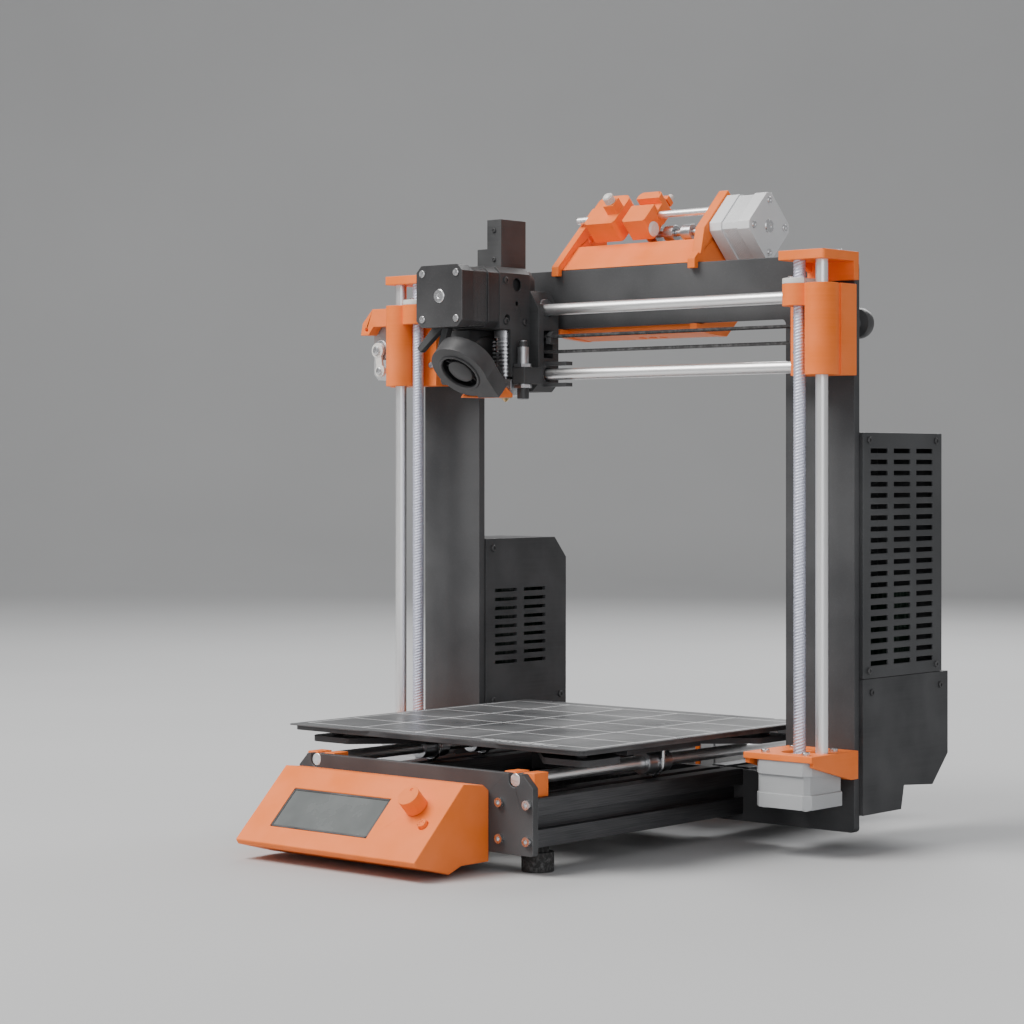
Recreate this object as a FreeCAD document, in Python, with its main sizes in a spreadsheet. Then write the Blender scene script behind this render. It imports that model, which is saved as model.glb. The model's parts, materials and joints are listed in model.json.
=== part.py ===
"""Desktop fused-filament printer with a moving bed, built as separate pieces.

Millimetres.  +X is the operator's right, +Y is away from the operator, +Z is up.
Drawing coordinates: X = 0 midway between the two lead screws, Y = 0 in the plane
of the upright rods, Z = 0 on the table.  The last section moves every piece so
that the origin is the centre of the footprint.
"""
import FreeCAD
import Part
import math
import os
from FreeCAD import Placement, Rotation
from FreeCAD import Vector as V

doc = FreeCAD.newDocument("fdm_printer")

# ---------------------------------------------------------------- driving sizes
SIZES = {
    # bolted plate frame
    "frame_wide": 375.0, "frame_thick": 6.0, "frame_foot": 12.0, "frame_top": 383.0,
    "window_wide": 268.0, "window_low": 46.0, "window_high": 342.4, "frame_front": 30.0,
    "plate_thick": 5.0, "plate_wide": 200.0, "plate_high": 61.0,
    "front_face": -183.0, "rear_face": 150.0,
    "bar_side": 30.0, "bar_apart": 170.0, "bar_height": 32.0, "bar_bore": 3.4,
    "foot_radius": 10.0, "foot_high": 17.0,
    # guides, screws and drives
    "rod_radius": 4.0, "bearing_radius": 7.5, "bearing_long": 24.0, "running_gap": 0.05,
    "y_rod_height": 57.0, "y_rod_long": 330.0, "y_rod_start": -182.0,
    "belt_wide": 6.0, "belt_thick": 1.4, "pulley_radius": 5.0, "flange_radius": 7.6,
    "pulley_long": 7.0, "flange_thick": 1.2, "shaft_radius": 2.5,
    "y_drive_height": 40.0, "y_pulley_y": 121.0, "y_idler_y": -160.0,
    "motor_side": 42.3, "motor_chamfer": 4.5, "motor_waist": 39.5, "boss_radius": 11.0,
    "boss_high": 2.0, "z_motor_long": 30.0, "motor_long": 38.0,
    "screw_apart": 332.0, "z_rod_apart": 366.0, "z_motor_top": 61.0,
    "mount_top": 65.0, "z_rod_start": 61.5, "z_rod_end": 381.0,
    "lead_start": 44.0, "lead_end": 380.0,
    "top_plate_low": 377.0,
    # gantry
    "end_low": 304.0, "end_high": 362.0, "end_tube_radius": 10.8, "end_front": 6.5,
    "end_deep": 17.0, "end_inner": 154.5, "end_outer": 193.5,
    "x_rod_y": 15.0, "x_rod_low": 310.0, "x_rod_high": 355.0, "x_rod_long": 374.0,
    "nut_radius": 11.0, "nut_flange": 3.5, "nut_neck": 5.1,
    "x_drive_height": 331.0, "x_motor_x": -214.0, "x_idler_x": 175.0,
    # print head
    "carriage_left": -112.0, "carriage_wide": 56.0, "carriage_front": 4.5,
    "carriage_deep": 21.5, "carriage_low": 298.0, "carriage_high": 368.0,
    "e_motor_x": -85.6, "e_motor_height": 362.0, "e_motor_front": -65.0,
    "filament_x": -78.0, "filament_y": -5.0, "sink_radius": 9.0, "nozzle_tip": 291.0,
    "housing_right": -64.0, "probe_radius": 4.0,
    "blower_radius": 22.0, "blower_thick": 13.0, "blower_tilt": 45.0,
    # bed
    "sheet_wide": 252.0, "sheet_deep": 240.0, "sheet_thick": 0.8, "sheet_top": 76.5,
    "bed_centre": -48.0, "heater_wide": 246.0, "heater_deep": 234.0, "heater_thick": 3.1,
    "spacer_high": 4.0, "spacer_radius": 3.5, "tray_thick": 4.0, "tray_wide": 236.0,
    "tray_deep": 214.0, "tray_arm": 34.0, "tray_core": 92.0,
    # control panel
    "panel_left": -89.0, "panel_wide": 154.0, "panel_wall": 3.0, "panel_slope": 44.3,
    "screen_wide": 84.0, "screen_high": 30.8,
    "knob_radius": 7.2, "knob_high": 11.0, "knob_up": 40.0, "button_radius": 3.0,
    # power supply and control board cases
    "supply_left": 139.0, "supply_wide": 51.0, "supply_deep": 94.0, "supply_low": 110.0,
    "supply_high": 268.0, "sheet_wall": 1.5, "cover_wall": 2.5,
    "case_left": -187.0, "case_wide": 54.0, "case_low": 70.0, "door_thick": 2.5,
    # filament selector
    "selector_left": -56.0, "selector_wide": 113.0, "bracket_thick": 6.0,
    "selector_motor_side": 36.0, "selector_motor_long": 33.0, "guide_radius": 2.5,
    # fasteners
    "head_radius": 2.9, "head_high": 2.4, "bolt_radius": 1.5,
    # centre of the footprint in drawing coordinates
    "centre_x": -22.1, "centre_y": -48.55,
}

sheet = doc.addObject("Spreadsheet::Sheet", "sizes")
for row, (alias, value) in enumerate(SIZES.items(), start=1):
    sheet.set("A%d" % row, alias)
    sheet.set("B%d" % row, str(value))
    sheet.setAlias("B%d" % row, alias)
doc.recompute()


def mm(alias):
    """Value of one driving size, read back from the sheet."""
    return float(sheet.get(alias))


# ---------------------------------------------------------------- building tools
TURN = {
    "x": Rotation(V(0, 1, 0), 90),
    "y": Rotation(V(1, 0, 0), -90),
    "z": Rotation(),
}
nodes = []
boards = []
bed_mounts = []


def keep(piece, label):
    """Name a finished sub-part and put it on the export list."""
    piece.Label = label
    nodes.append(piece)
    return piece


def bind(obj, prop, size):
    """Drive a property from the sheet: size is a number or an expression in its aliases."""
    if isinstance(size, str):
        obj.setExpression(prop, size)
    else:
        setattr(obj, prop, size)


def round_bar(radius, length, start, axis="z", name="bar"):
    """Solid cylinder from start along +axis."""
    bar = doc.addObject("Part::Cylinder", name)
    bind(bar, "Radius", radius)
    bind(bar, "Height", length)
    bar.Placement = Placement(V(*start), TURN[axis])
    return bar


def block(size_x, size_y, size_z, corner, name="block"):
    """Solid box from its lowest corner."""
    box = doc.addObject("Part::Box", name)
    bind(box, "Length", size_x)
    bind(box, "Width", size_y)
    bind(box, "Height", size_z)
    box.Placement = Placement(V(*corner), Rotation())
    return box


def outline(points):
    """Edges of a closed outline; a point (x, y, r) has its corner rounded to radius r."""
    count = len(points)
    corners = []
    for index, point in enumerate(points):
        here = V(point[0], point[1], 0)
        before = V(*points[index - 1][:2], 0) - here
        after = V(*points[(index + 1) % count][:2], 0) - here
        before.normalize()
        after.normalize()
        if len(point) < 3:
            corners.append((here, None, here))
            continue
        half_angle = math.acos(before.dot(after)) / 2
        reach = point[2] / math.tan(half_angle)
        inward = (before + after).normalize()
        middle = here + inward * (point[2] / math.sin(half_angle) - point[2])
        corners.append((here + before * reach, middle, here + after * reach))
    edges = []
    for index, (start, middle, end) in enumerate(corners):
        if middle is not None:
            edges.append(Part.Arc(start, middle, end))
        following = corners[(index + 1) % count][0]
        if (following - end).Length > 1e-6:
            edges.append(Part.LineSegment(end, following))
    return edges


def sketch_on(body, plane, edges, name):
    """Sketch on one of the body's own origin planes, given by its role."""
    roles = {feature.Role: feature for feature in body.Origin.OriginFeatures}
    sketch = body.newObject("Sketcher::SketchObject", name)
    sketch.AttachmentSupport = [(roles[plane], "")]
    sketch.MapMode = "FlatFace"
    for edge in edges:
        sketch.addGeometry(edge, False)
    return sketch


def prism(plane, points, depth, start=(0, 0, 0), name="prism"):
    """Body padded from an outline: XY grows along +Z, XZ along +Y, YZ along +X."""
    body = doc.addObject("PartDesign::Body", name)
    sketch = sketch_on(body, plane, outline(points), name + "_outline")
    pad = body.newObject("PartDesign::Pad", name + "_pad")
    pad.Profile = sketch
    pad.Reversed = plane == "XZ_Plane"
    bind(pad, "Length", depth)
    body.Placement = Placement(V(*start), Rotation())
    return body


def cut_through(body, plane, edges, name="opening"):
    """Pocket that runs right through the body both ways from its origin plane."""
    before = body.Tip
    sketch = sketch_on(body, plane, edges, name + "_outline")
    pocket = body.newObject("PartDesign::Pocket", name)
    pocket.Profile = sketch
    pocket.Type = "ThroughAll"
    pocket.Midplane = True
    doc.recompute()
    if pocket.Shape.Volume > before.Shape.Volume - 0.001:
        raise RuntimeError(name + " removed nothing")
    return pocket


def circles(centres, radius):
    """Round holes for cut_through."""
    return [Part.Circle(V(x, y, 0), V(0, 0, 1), radius) for x, y in centres]


def rectangle(x0, y0, x1, y1, radius=None):
    """Corner list of an upright rectangle, with equal corner radii if asked."""
    corners = [(x0, y0), (x1, y0), (x1, y1), (x0, y1)]
    if radius:
        corners = [corner + (radius,) for corner in corners]
    return corners


def cut(base, *tools, name="cut"):
    """Base less every tool."""
    result = doc.addObject("Part::Cut", name)
    result.Base = base
    result.Tool = tools[0] if len(tools) == 1 else fuse(*tools, name=name + "_tools")
    return result


def fuse(*pieces, name="fuse"):
    """One solid from touching pieces."""
    result = doc.addObject("Part::MultiFuse", name)
    result.Shapes = list(pieces)
    result.Refine = True
    return result


def group(*pieces, name="group"):
    """Separate solids that share one node."""
    result = doc.addObject("Part::Compound", name)
    result.Links = list(pieces)
    return result


def mirrored(piece, name="mirror"):
    """Left-hand copy of a right-hand piece, across X = 0."""
    copy = doc.addObject("Part::Mirroring", name)
    copy.Source = piece
    copy.Normal = V(1, 0, 0)
    return copy


def both_sides(piece, label):
    """Right-hand piece and its mirror image as one node."""
    return keep(group(piece, mirrored(piece), name=label), label)


# ---------------------------------------------------------------- frame and base
FRAME_Y = mm("frame_front")
FRAME_BACK = FRAME_Y + mm("frame_thick")
HALF_FRAME = mm("frame_wide") / 2
HALF_WINDOW = mm("window_wide") / 2
BAR_X = mm("bar_apart") / 2


def main_frame():
    """Upright plate with one large window and a notch for the bed belt."""
    low, high = mm("frame_foot"), mm("frame_top")
    plate = prism("XZ_Plane", [(-HALF_FRAME, low, 3), (HALF_FRAME, low, 3),
                               (HALF_FRAME, high, 10), (-HALF_FRAME, high, 10)],
                  "sizes.frame_thick", (0, FRAME_Y, 0), "main_frame")
    window = rectangle(-HALF_WINDOW, mm("window_low"), HALF_WINDOW, mm("window_high"), 4)
    notch_low = mm("y_drive_height") - 12
    window[1:1] = [(-14, mm("window_low")), (-14, notch_low, 3), (14, notch_low, 3),
                   (14, mm("window_low"))]
    cut_through(plate, "XZ_Plane", outline(window), "frame_window")
    arch = rectangle(-62, low - 5, 62, low + 8, 5)
    cut_through(plate, "XZ_Plane", outline(arch), "frame_arch")
    keep(plate, "main_frame")


def end_plate(face_y):
    """Cross plate with an open notch round the end of each bed rod."""
    half, low, high = mm("plate_wide") / 2, mm("frame_foot"), mm("plate_high")
    shoulder = high - 8
    plate = prism("XZ_Plane", [(-half, low, 2), (-30, low, 2), (-24, low + 7, 2), (24, low + 7, 2),
                               (30, low, 2), (half, low, 2), (half, shoulder), (half - 8, high, 2),
                               (8 - half, high, 2), (-half, shoulder)],
                  "sizes.plate_thick", (0, face_y, 0), "end_plate")
    notches = []
    for side in (-1, 1):
        notches.append(round_bar("sizes.rod_radius + 0.4", 20,
                                 (side * BAR_X, face_y - 5, mm("y_rod_height")), "y"))
        width = 2 * mm("rod_radius") + 0.8
        notches.append(block(width, 20, 20,
                             (side * BAR_X - width / 2, face_y - 5, mm("y_rod_height"))))
    return cut(plate, *notches, name="notched_plate")


def end_plates():
    """Identical cross plates at the front and rear ends of the slotted bars."""
    front = end_plate(mm("front_face"))
    rear = end_plate(mm("rear_face") - mm("plate_thick"))
    keep(group(front, rear, name="end_plates"), "end_plates")


def slotted_outline(side):
    """Square aluminium section with one undercut slot in each face."""
    half = side / 2
    quarter = [(-half, -half), (-4.1, -half), (-4.1, 2.2 - half), (-8.0, 2.2 - half),
               (-8.0, 3.8 - half), (-4.2, 7.6 - half), (4.2, 7.6 - half),
               (8.0, 3.8 - half), (8.0, 2.2 - half), (4.1, 2.2 - half), (4.1, -half)]
    points = []
    for turn in range(4):
        angle = math.radians(90 * turn)
        for x, y in quarter:
            points.append((x * math.cos(angle) - y * math.sin(angle),
                           x * math.sin(angle) + y * math.cos(angle)))
    return points


def extrusions():
    """Two slotted bars in front of the frame and two behind it."""
    front_start = mm("front_face") + mm("plate_thick")
    rear_end = mm("rear_face") - mm("plate_thick")
    spans = [(front_start, FRAME_Y), (FRAME_BACK, rear_end)]
    bars = []
    for side in (-1, 1):
        for start, end in spans:
            bar = prism("XZ_Plane", slotted_outline(mm("bar_side")), end - start,
                        (side * BAR_X, start, mm("bar_height")), "extrusion")
            cut_through(bar, "XZ_Plane", circles([(0, 0)], mm("bar_bore")), "bar_bore")
            bars.append(bar)
    keep(group(*bars, name="extrusions"), "extrusions")


def rubber_feet():
    """Stepped rubber feet under the ends of the slotted bars."""
    feet = []
    for side in (-1, 1):
        for y in (mm("front_face") + 22, mm("rear_face") - 22):
            pad = round_bar("sizes.foot_radius", "sizes.foot_high - 5", (side * BAR_X, y, 0))
            neck = round_bar("sizes.foot_radius - 3", "sizes.foot_high",
                             (side * BAR_X, y, 0))
            feet.append(fuse(pad, neck, name="rubber_foot"))
    keep(group(*feet, name="rubber_feet"), "rubber_feet")


def fixed_rods():
    """Polished rods fixed to the frame: two for the bed, two upright, one for the selector."""
    rods = []
    for side in (-1, 1):
        rods.append(round_bar("sizes.rod_radius", "sizes.y_rod_long",
                              (side * BAR_X, mm("y_rod_start"), mm("y_rod_height")), "y", "y_rod"))
        rods.append(round_bar("sizes.rod_radius", "sizes.z_rod_end - sizes.z_rod_start",
                              (side * mm("z_rod_apart") / 2, 0, mm("z_rod_start")), name="z_rod"))
    wide, ends = mm("selector_wide"), mm("bracket_thick")
    rods.append(round_bar("sizes.guide_radius", wide + 2 * ends,
                          (mm("selector_left") - ends, GUIDE_AT.y, GUIDE_AT.z), "x", "short_rod"))
    keep(group(*rods, name="guide_rods"), "guide_rods")


def bed_rod_holders():
    """Printed saddles behind the end plates, which clip the rods over the slotted bars."""
    height, deep = mm("y_rod_height"), 13.0
    bar_top = mm("bar_height") + mm("bar_side") / 2
    front = mm("front_face") + mm("plate_thick")
    rear = mm("rear_face") - mm("plate_thick")
    for side in (-1, 1):
        x = side * BAR_X
        for start in (front, rear - deep):
            saddle = block(24, deep, height + 4.5 - bar_top, (x - 12, start, bar_top))
            bore = round_bar("sizes.rod_radius", 60, (x, start - 30, height), "y")
            mouth = block(6.5, 60, 20, (x - 3.25, start - 30, height))
            bed_mounts.append(cut(saddle, bore, mouth, name="rod_holder"))


def stepper(side, long, name, bore):
    """Stepper motor body, face up at z = 0: two caps, a narrower stack and a face boss."""
    half, chamfer = side / 2, mm("motor_chamfer") * side / mm("motor_side")
    waist = mm("motor_waist") * side / mm("motor_side") / 2
    cap = long * 0.3

    def octagon(reach, nick):
        return [(-reach, nick - reach), (nick - reach, -reach), (reach - nick, -reach),
                (reach, nick - reach), (reach, reach - nick), (reach - nick, reach),
                (nick - reach, reach), (-reach, reach - nick)]

    top = prism("XY_Plane", octagon(half, chamfer), cap, (0, 0, -cap), name + "_top")
    stack = prism("XY_Plane", octagon(waist, chamfer * 0.7), long - 2 * cap,
                  (0, 0, cap - long), name + "_stack")
    base = prism("XY_Plane", octagon(half, chamfer), cap, (0, 0, -long), name + "_base")
    boss = round_bar("sizes.boss_radius * %f" % (side / mm("motor_side")), "sizes.boss_high",
                     (0, 0, 0))
    hole = round_bar(bore, long * 0.6 + 10, (0, 0, -long * 0.6))
    return cut(fuse(top, stack, base, boss), hole, name=name)


def placed(piece, position, rotation=Rotation()):
    """Move a finished piece to its place."""
    piece.Placement = Placement(V(*position), rotation)
    return piece


def bed_drive():
    """Bed motor on its printed holder at the rear, with the belt loop."""
    height, gap = mm("y_drive_height"), mm("running_gap")
    face_x = 12.0
    motor = stepper(mm("motor_side"), mm("motor_long"), "y_motor", mm("shaft_radius") + gap)
    placed(motor, (face_x, mm("y_pulley_y"), height), Rotation(V(0, 1, 0), -90))
    keep(motor, "y_motor")
    rear = mm("rear_face") - mm("plate_thick")
    face = block(4, rear - 99, 40, (face_x - 4, 99, height - 20))
    foot = block(26, 4, 36, (face_x - 26, rear - 4, height - 20))
    boss = round_bar("sizes.boss_radius + 0.2", 30, (0, mm("y_pulley_y"), height), "x")
    holder = cut(fuse(face, foot), boss, name="y_motor_holder")
    keep(belt_loop("YZ_Plane", mm("y_idler_y"), mm("y_pulley_y"), height, "y_belt",
                   (-mm("belt_wide") / 2, 0, 0)), "y_belt")
    front = mm("front_face") + mm("plate_thick")
    idler_y = mm("y_idler_y")
    web = block(22, 5, 26, (-11, front, height - 13))
    left = block(3, idler_y + 6 - front, 16, (-8.5, front, height - 8))
    right = block(3, idler_y + 6 - front, 16, (5.5, front, height - 8))
    pin = round_bar("sizes.bolt_radius", 19, (-9.5, idler_y, height), "x")
    fork = fuse(web, left, right, pin, name="y_idler_fork")
    keep(group(*bed_mounts, holder, fork, name="bed_mounts"), "bed_mounts")


def belt_loop(plane, first, second, height, name, start):
    """Closed toothed-belt loop as a flat band round two equal pulleys."""
    inner, outer = mm("pulley_radius"), mm("pulley_radius") + mm("belt_thick")

    def track(radius):
        low, high = height - radius, height + radius
        return [Part.LineSegment(V(first, low, 0), V(second, low, 0)),
                Part.Arc(V(second, low, 0), V(second + radius, height, 0), V(second, high, 0)),
                Part.LineSegment(V(second, high, 0), V(first, high, 0)),
                Part.Arc(V(first, high, 0), V(first - radius, height, 0), V(first, low, 0))]

    body = doc.addObject("PartDesign::Body", name)
    sketch = sketch_on(body, plane, track(outer) + track(inner), name + "_track")
    pad = body.newObject("PartDesign::Pad", name + "_pad")
    pad.Profile = sketch
    pad.Reversed = plane == "XZ_Plane"
    pad.setExpression("Length", "sizes.belt_wide")
    body.Placement = Placement(V(*start), Rotation())
    return body


def bolt_head(position, axis):
    """Round-headed socket screw: axis is the way its head faces."""
    turn = Rotation(V(0, 0, 1), V(*axis))
    head = round_bar("sizes.head_radius", "sizes.head_high", (0, 0, 0), name="bolt_head")
    socket = prism("XY_Plane", [(1.45 * math.cos(k * math.pi / 3), 1.45 * math.sin(k * math.pi / 3))
                                for k in range(6)], 2, (0, 0, mm("head_high") - 1.4), "socket")
    return placed(cut(head, socket, name="bolt"), position, turn)


def frame_bolts():
    """Exposed screw heads on the end plates."""
    spread = 11.0
    bolts = []
    for side in (-1, 1):
        for dx in (-spread, spread):
            for dz in (-spread, spread):
                x, z = side * BAR_X + dx, mm("bar_height") + dz
                bolts.append(bolt_head((x, mm("front_face"), z), (0, -1, 0)))
                bolts.append(bolt_head((x, mm("rear_face"), z), (0, 1, 0)))
    keep(group(*bolts, name="frame_bolts"), "frame_bolts")


# ---------------------------------------------------------------- upright drives
SCREW_X = mm("screw_apart") / 2
ROD_X = mm("z_rod_apart") / 2


def z_columns():
    """Lift motors, printed mounts, guide rods and top brackets on both sides."""
    top, plate_top = mm("z_motor_top"), mm("mount_top")
    motor = stepper(mm("motor_side"), mm("z_motor_long"), "z_motor",
                    mm("rod_radius") + mm("running_gap"))
    both_sides(placed(motor, (SCREW_X, 0, top)), "z_motors")

    plate = block(52.5, 52, plate_top - top, (138, -22, top))
    back = block(52.5, 8, 18, (138, 22, 47))
    gusset = [(22, 47), (22, top), (-20, top), (-20, top - 3)]
    inner = prism("YZ_Plane", gusset, 3.5, (138, 0, 0), "inner_gusset")
    outer = prism("YZ_Plane", gusset, 3.0, (187.5, 0, 0), "outer_gusset")
    boss_hole = round_bar("sizes.boss_radius + 0.3", 10, (SCREW_X, 0, top - 1))
    rod_hole = round_bar("sizes.rod_radius", 10, (ROD_X, 0, top - 1))
    mount = cut(fuse(plate, back, inner, outer), boss_hole, rod_hole, name="z_motor_mount")
    both_sides(mount, "z_motor_mounts")

    low, high = mm("top_plate_low"), mm("frame_top")
    cap = prism("XY_Plane", [(155, -9, 2), (191, -9, 2), (191, 30), (155, 30)],
                high - low, (0, 0, low), "top_plate")
    flange = block(36, 5.5, high - 365, (155, 24.5, 365))
    brace = prism("YZ_Plane", [(24.5, 371), (24.5, low), (12, low)], 3.5, (155, 0, 0), "brace")
    rod_seat = round_bar("sizes.rod_radius", mm("z_rod_end") - low + 1, (ROD_X, 0, low - 1))
    screw_hole = round_bar("sizes.rod_radius + 0.4", 20, (SCREW_X, 0, low - 1))
    both_sides(cut(fuse(cap, flange, brace), rod_seat, screw_hole, name="z_top"), "z_top_brackets")

    for side, name in ((-1, "left_lead_screw"), (1, "right_lead_screw")):
        screw = round_bar("sizes.rod_radius", "sizes.lead_end - sizes.lead_start",
                          (side * SCREW_X, 0, mm("lead_start")), name=name)
        keep(screw, name)


# ---------------------------------------------------------------- moving bed
BED_Y = mm("bed_centre")


def bed():
    """Tray on three linear bearings, heated plate on spacers and the lift-off sheet."""
    sheet_low = mm("sheet_top") - mm("sheet_thick")
    heater_low = sheet_low - mm("heater_thick")
    tray_low = heater_low - mm("spacer_high") - mm("tray_thick")
    half_wide, half_deep = mm("tray_wide") / 2, mm("tray_deep") / 2
    core, arm = mm("tray_core") / 2, mm("tray_arm")
    quarter = [(core * 0.55, -core), (half_wide - arm, -half_deep, 6), (half_wide, -half_deep, 6),
               (half_wide, arm - half_deep, 6), (core * 1.2, -core * 0.45)]
    points = list(quarter)
    points += [(x, -y) + tuple(r) for x, y, *r in reversed(quarter)]
    points += [(-x, -y) + tuple(r) for x, y, *r in quarter]
    points += [(-x, y) + tuple(r) for x, y, *r in reversed(quarter)]
    wing = block(2 * BAR_X + 20, 76, "sizes.tray_thick", (-BAR_X - 10, BED_Y - 38, tray_low))
    spider = prism("XY_Plane", points, "sizes.tray_thick", (0, BED_Y, tray_low), "tray")
    spacers = [round_bar("sizes.spacer_radius", "sizes.spacer_high",
                         (x, BED_Y + y, heater_low - mm("spacer_high")))
               for x, y in ((-105, -95), (-105, 95), (0, 0), (105, -95), (105, 95))]

    bearings = []
    for x, y in ((-BAR_X, -26), (-BAR_X, 26), (BAR_X, 0)):
        start = BED_Y + y - mm("bearing_long") / 2
        sleeve = round_bar("sizes.bearing_radius", "sizes.bearing_long",
                           (x, start, mm("y_rod_height")), "y")
        bore = round_bar("sizes.rod_radius + sizes.running_gap", 40,
                         (x, start - 5, mm("y_rod_height")), "y")
        bearings.append(cut(sleeve, bore, name="y_bearing"))
    keep(group(*bearings, name="bed_bearings"), "bed_bearings")

    height = mm("y_drive_height")
    run_top = height + mm("pulley_radius") + mm("belt_thick")
    jaw = block(12, 26, tray_low - height + 1, (-6, BED_Y - 13, height - 1))
    slot = block(mm("belt_wide") + 4, 40, run_top + 0.5 - height + 3.6,
                 (-mm("belt_wide") / 2 - 0.5, BED_Y - 20, height - 3.1))
    lip = block(9.1, 26, 2.5, (-6, BED_Y - 13, height + 1.5))
    keep(fuse(spider, wing, *spacers, cut(jaw, slot), lip, name="bed_tray"), "bed_tray")

    wide, deep = mm("heater_wide"), mm("heater_deep")
    heater = prism("XY_Plane", rectangle(-wide / 2, -deep / 2, wide / 2, deep / 2, 4),
                   "sizes.heater_thick", (0, BED_Y, heater_low), "heated_plate")
    keep(heater, "heated_plate")

    wide, deep = mm("sheet_wide") / 2, mm("sheet_deep") / 2
    steel = prism("XY_Plane", [(-wide, -deep, 3), (-60, -deep), (-54, 3 - deep), (54, 3 - deep),
                               (60, -deep), (wide, -deep, 3), (wide, deep, 3), (-wide, deep, 3)],
                  "sizes.sheet_thick", (0, BED_Y, sheet_low), "print_sheet")
    cut_through(steel, "XY_Plane", outline([(-98, deep - 4), (-94, deep + 2), (-102, deep + 2)])
                + outline([(98, deep - 4), (102, deep + 2), (94, deep + 2)]), "pin_notches")
    keep(steel, "print_sheet")


# ---------------------------------------------------------------- lifting gantry
ROD_Y = mm("x_rod_y")


def gantry_end(side, name):
    """Printed end block: bearing tube, rod block, lead-nut sleeve and belt slot (right hand)."""
    low, high = mm("end_low"), mm("end_high")
    tube = round_bar("sizes.end_tube_radius", "sizes.end_high - sizes.end_low", (ROD_X, 0, low))
    box = block("sizes.end_outer - sizes.end_inner", "sizes.end_deep",
                "sizes.end_high - sizes.end_low", (mm("end_inner"), mm("end_front"), low))
    sleeve = round_bar("sizes.nut_radius", 14, (SCREW_X, 0, high - 14))
    seat = round_bar("sizes.bearing_radius", 90, (ROD_X, 0, low - 5))
    nut_bore = round_bar("sizes.nut_neck", 40, (SCREW_X, 0, high - 20))
    rods = [round_bar("sizes.rod_radius", 34, (mm("end_inner") - 1, ROD_Y, z), "x")
            for z in (mm("x_rod_low"), mm("x_rod_high"))]
    middle = mm("x_drive_height")
    long = 60 if side < 0 else 34.5
    slot = block(long, 9.5, 19, (mm("end_inner") - 1, ROD_Y - 4.75, middle - 9.5))
    body = cut(fuse(tube, box, sleeve), seat, nut_bore, slot, *rods, name=name + "_block")
    if side > 0:
        pin = round_bar("sizes.bolt_radius", "sizes.end_deep",
                        (mm("x_idler_x"), mm("end_front"), middle), "y")
        return fuse(body, pin, name=name)
    return mirrored(body, name)


def gantry():
    """End blocks, cross rods, bearings, lead nuts, cross motor and belt."""
    keep(gantry_end(1, "right_end_block"), "right_end_block")
    left = gantry_end(-1, "left_end_plain")
    motor_x, middle = mm("x_motor_x"), mm("x_drive_height")
    outer, high = -mm("end_outer"), mm("end_high")
    back = mm("end_front") + mm("end_deep")
    arm = prism("XZ_Plane", [(outer + 2, high), (-226, high), (-236, high - 10),
                             (-238, high - 19), (-230, high - 19), (-225, high - 13),
                             (outer + 2, high - 13)], 9, (0, back - 9, 0), "motor_arm")
    foot = prism("XZ_Plane", [(outer + 2, 314), (-208, 308), (-208, 304), (outer + 2, 304)],
                 9, (0, back - 9, 0), "motor_foot")
    hole = round_bar("sizes.bolt_radius", 40, (-232, back - 20, high - 15), "y")
    keep(fuse(left, cut(arm, hole), foot, name="left_end_block"), "left_end_block")

    rods = [round_bar("sizes.rod_radius", "sizes.x_rod_long",
                      (-mm("x_rod_long") / 2, ROD_Y, z), "x", "x_rod")
            for z in (mm("x_rod_low"), mm("x_rod_high"))]
    keep(group(*rods, name="x_rods"), "x_rods")

    bearings = []
    for side in (-1, 1):
        for z in (mm("end_low") + 1, mm("end_high") - 1 - mm("bearing_long")):
            sleeve = round_bar("sizes.bearing_radius", "sizes.bearing_long", (side * ROD_X, 0, z))
            bore = round_bar("sizes.rod_radius + sizes.running_gap", 40, (side * ROD_X, 0, z - 5))
            bearings.append(cut(sleeve, bore, name="z_bearing"))
    keep(group(*bearings, name="z_bearings"), "z_bearings")

    nuts = []
    for side in (-1, 1):
        x = side * SCREW_X
        flange = cut(round_bar("sizes.nut_radius", "sizes.nut_flange", (x, 0, high)),
                     round_bar("sizes.end_tube_radius + 0.2", 20, (side * ROD_X, 0, high - 5)))
        neck = round_bar("sizes.nut_neck", 13, (x, 0, high - 12.5))
        bore = round_bar("sizes.rod_radius + sizes.running_gap", 40, (x, 0, high - 20))
        nuts.append(cut(fuse(flange, neck), bore, name="lead_nut"))
    keep(group(*nuts, name="lead_nuts"), "lead_nuts")

    motor = stepper(mm("motor_side"), 34.0, "x_motor", mm("shaft_radius") + mm("running_gap"))
    keep(placed(motor, (motor_x, back + 2.2, middle), Rotation(V(1, 0, 0), 90)), "x_motor")
    keep(belt_loop("XZ_Plane", motor_x, mm("x_idler_x"), middle, "x_belt",
                   (0, ROD_Y - mm("belt_wide") / 2, 0)), "x_belt")


def pulley(position, axis, shaft, label):
    """Flanged belt wheel centred on position; shaft = (start offset, length) or None."""
    along = {"x": V(1, 0, 0), "y": V(0, 1, 0)}[axis]
    centre, half = V(*position), mm("pulley_long") / 2
    wheel = round_bar("sizes.pulley_radius - 0.05", "sizes.pulley_long",
                      centre - along * half, axis)
    rims = [round_bar("sizes.flange_radius", "sizes.flange_thick", centre + along * offset, axis)
            for offset in (-half - mm("flange_thick"), half)]
    if shaft is None:
        bore = round_bar("sizes.bolt_radius + sizes.running_gap", 30, centre - along * 15, axis)
        keep(cut(fuse(wheel, *rims), bore, name=label), label)
        return
    bore = round_bar("sizes.shaft_radius", 30, centre - along * 15, axis)
    spindle = round_bar("sizes.shaft_radius", shaft[1], centre + along * shaft[0], axis)
    keep(group(cut(fuse(wheel, *rims), bore), spindle, name=label), label)


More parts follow.
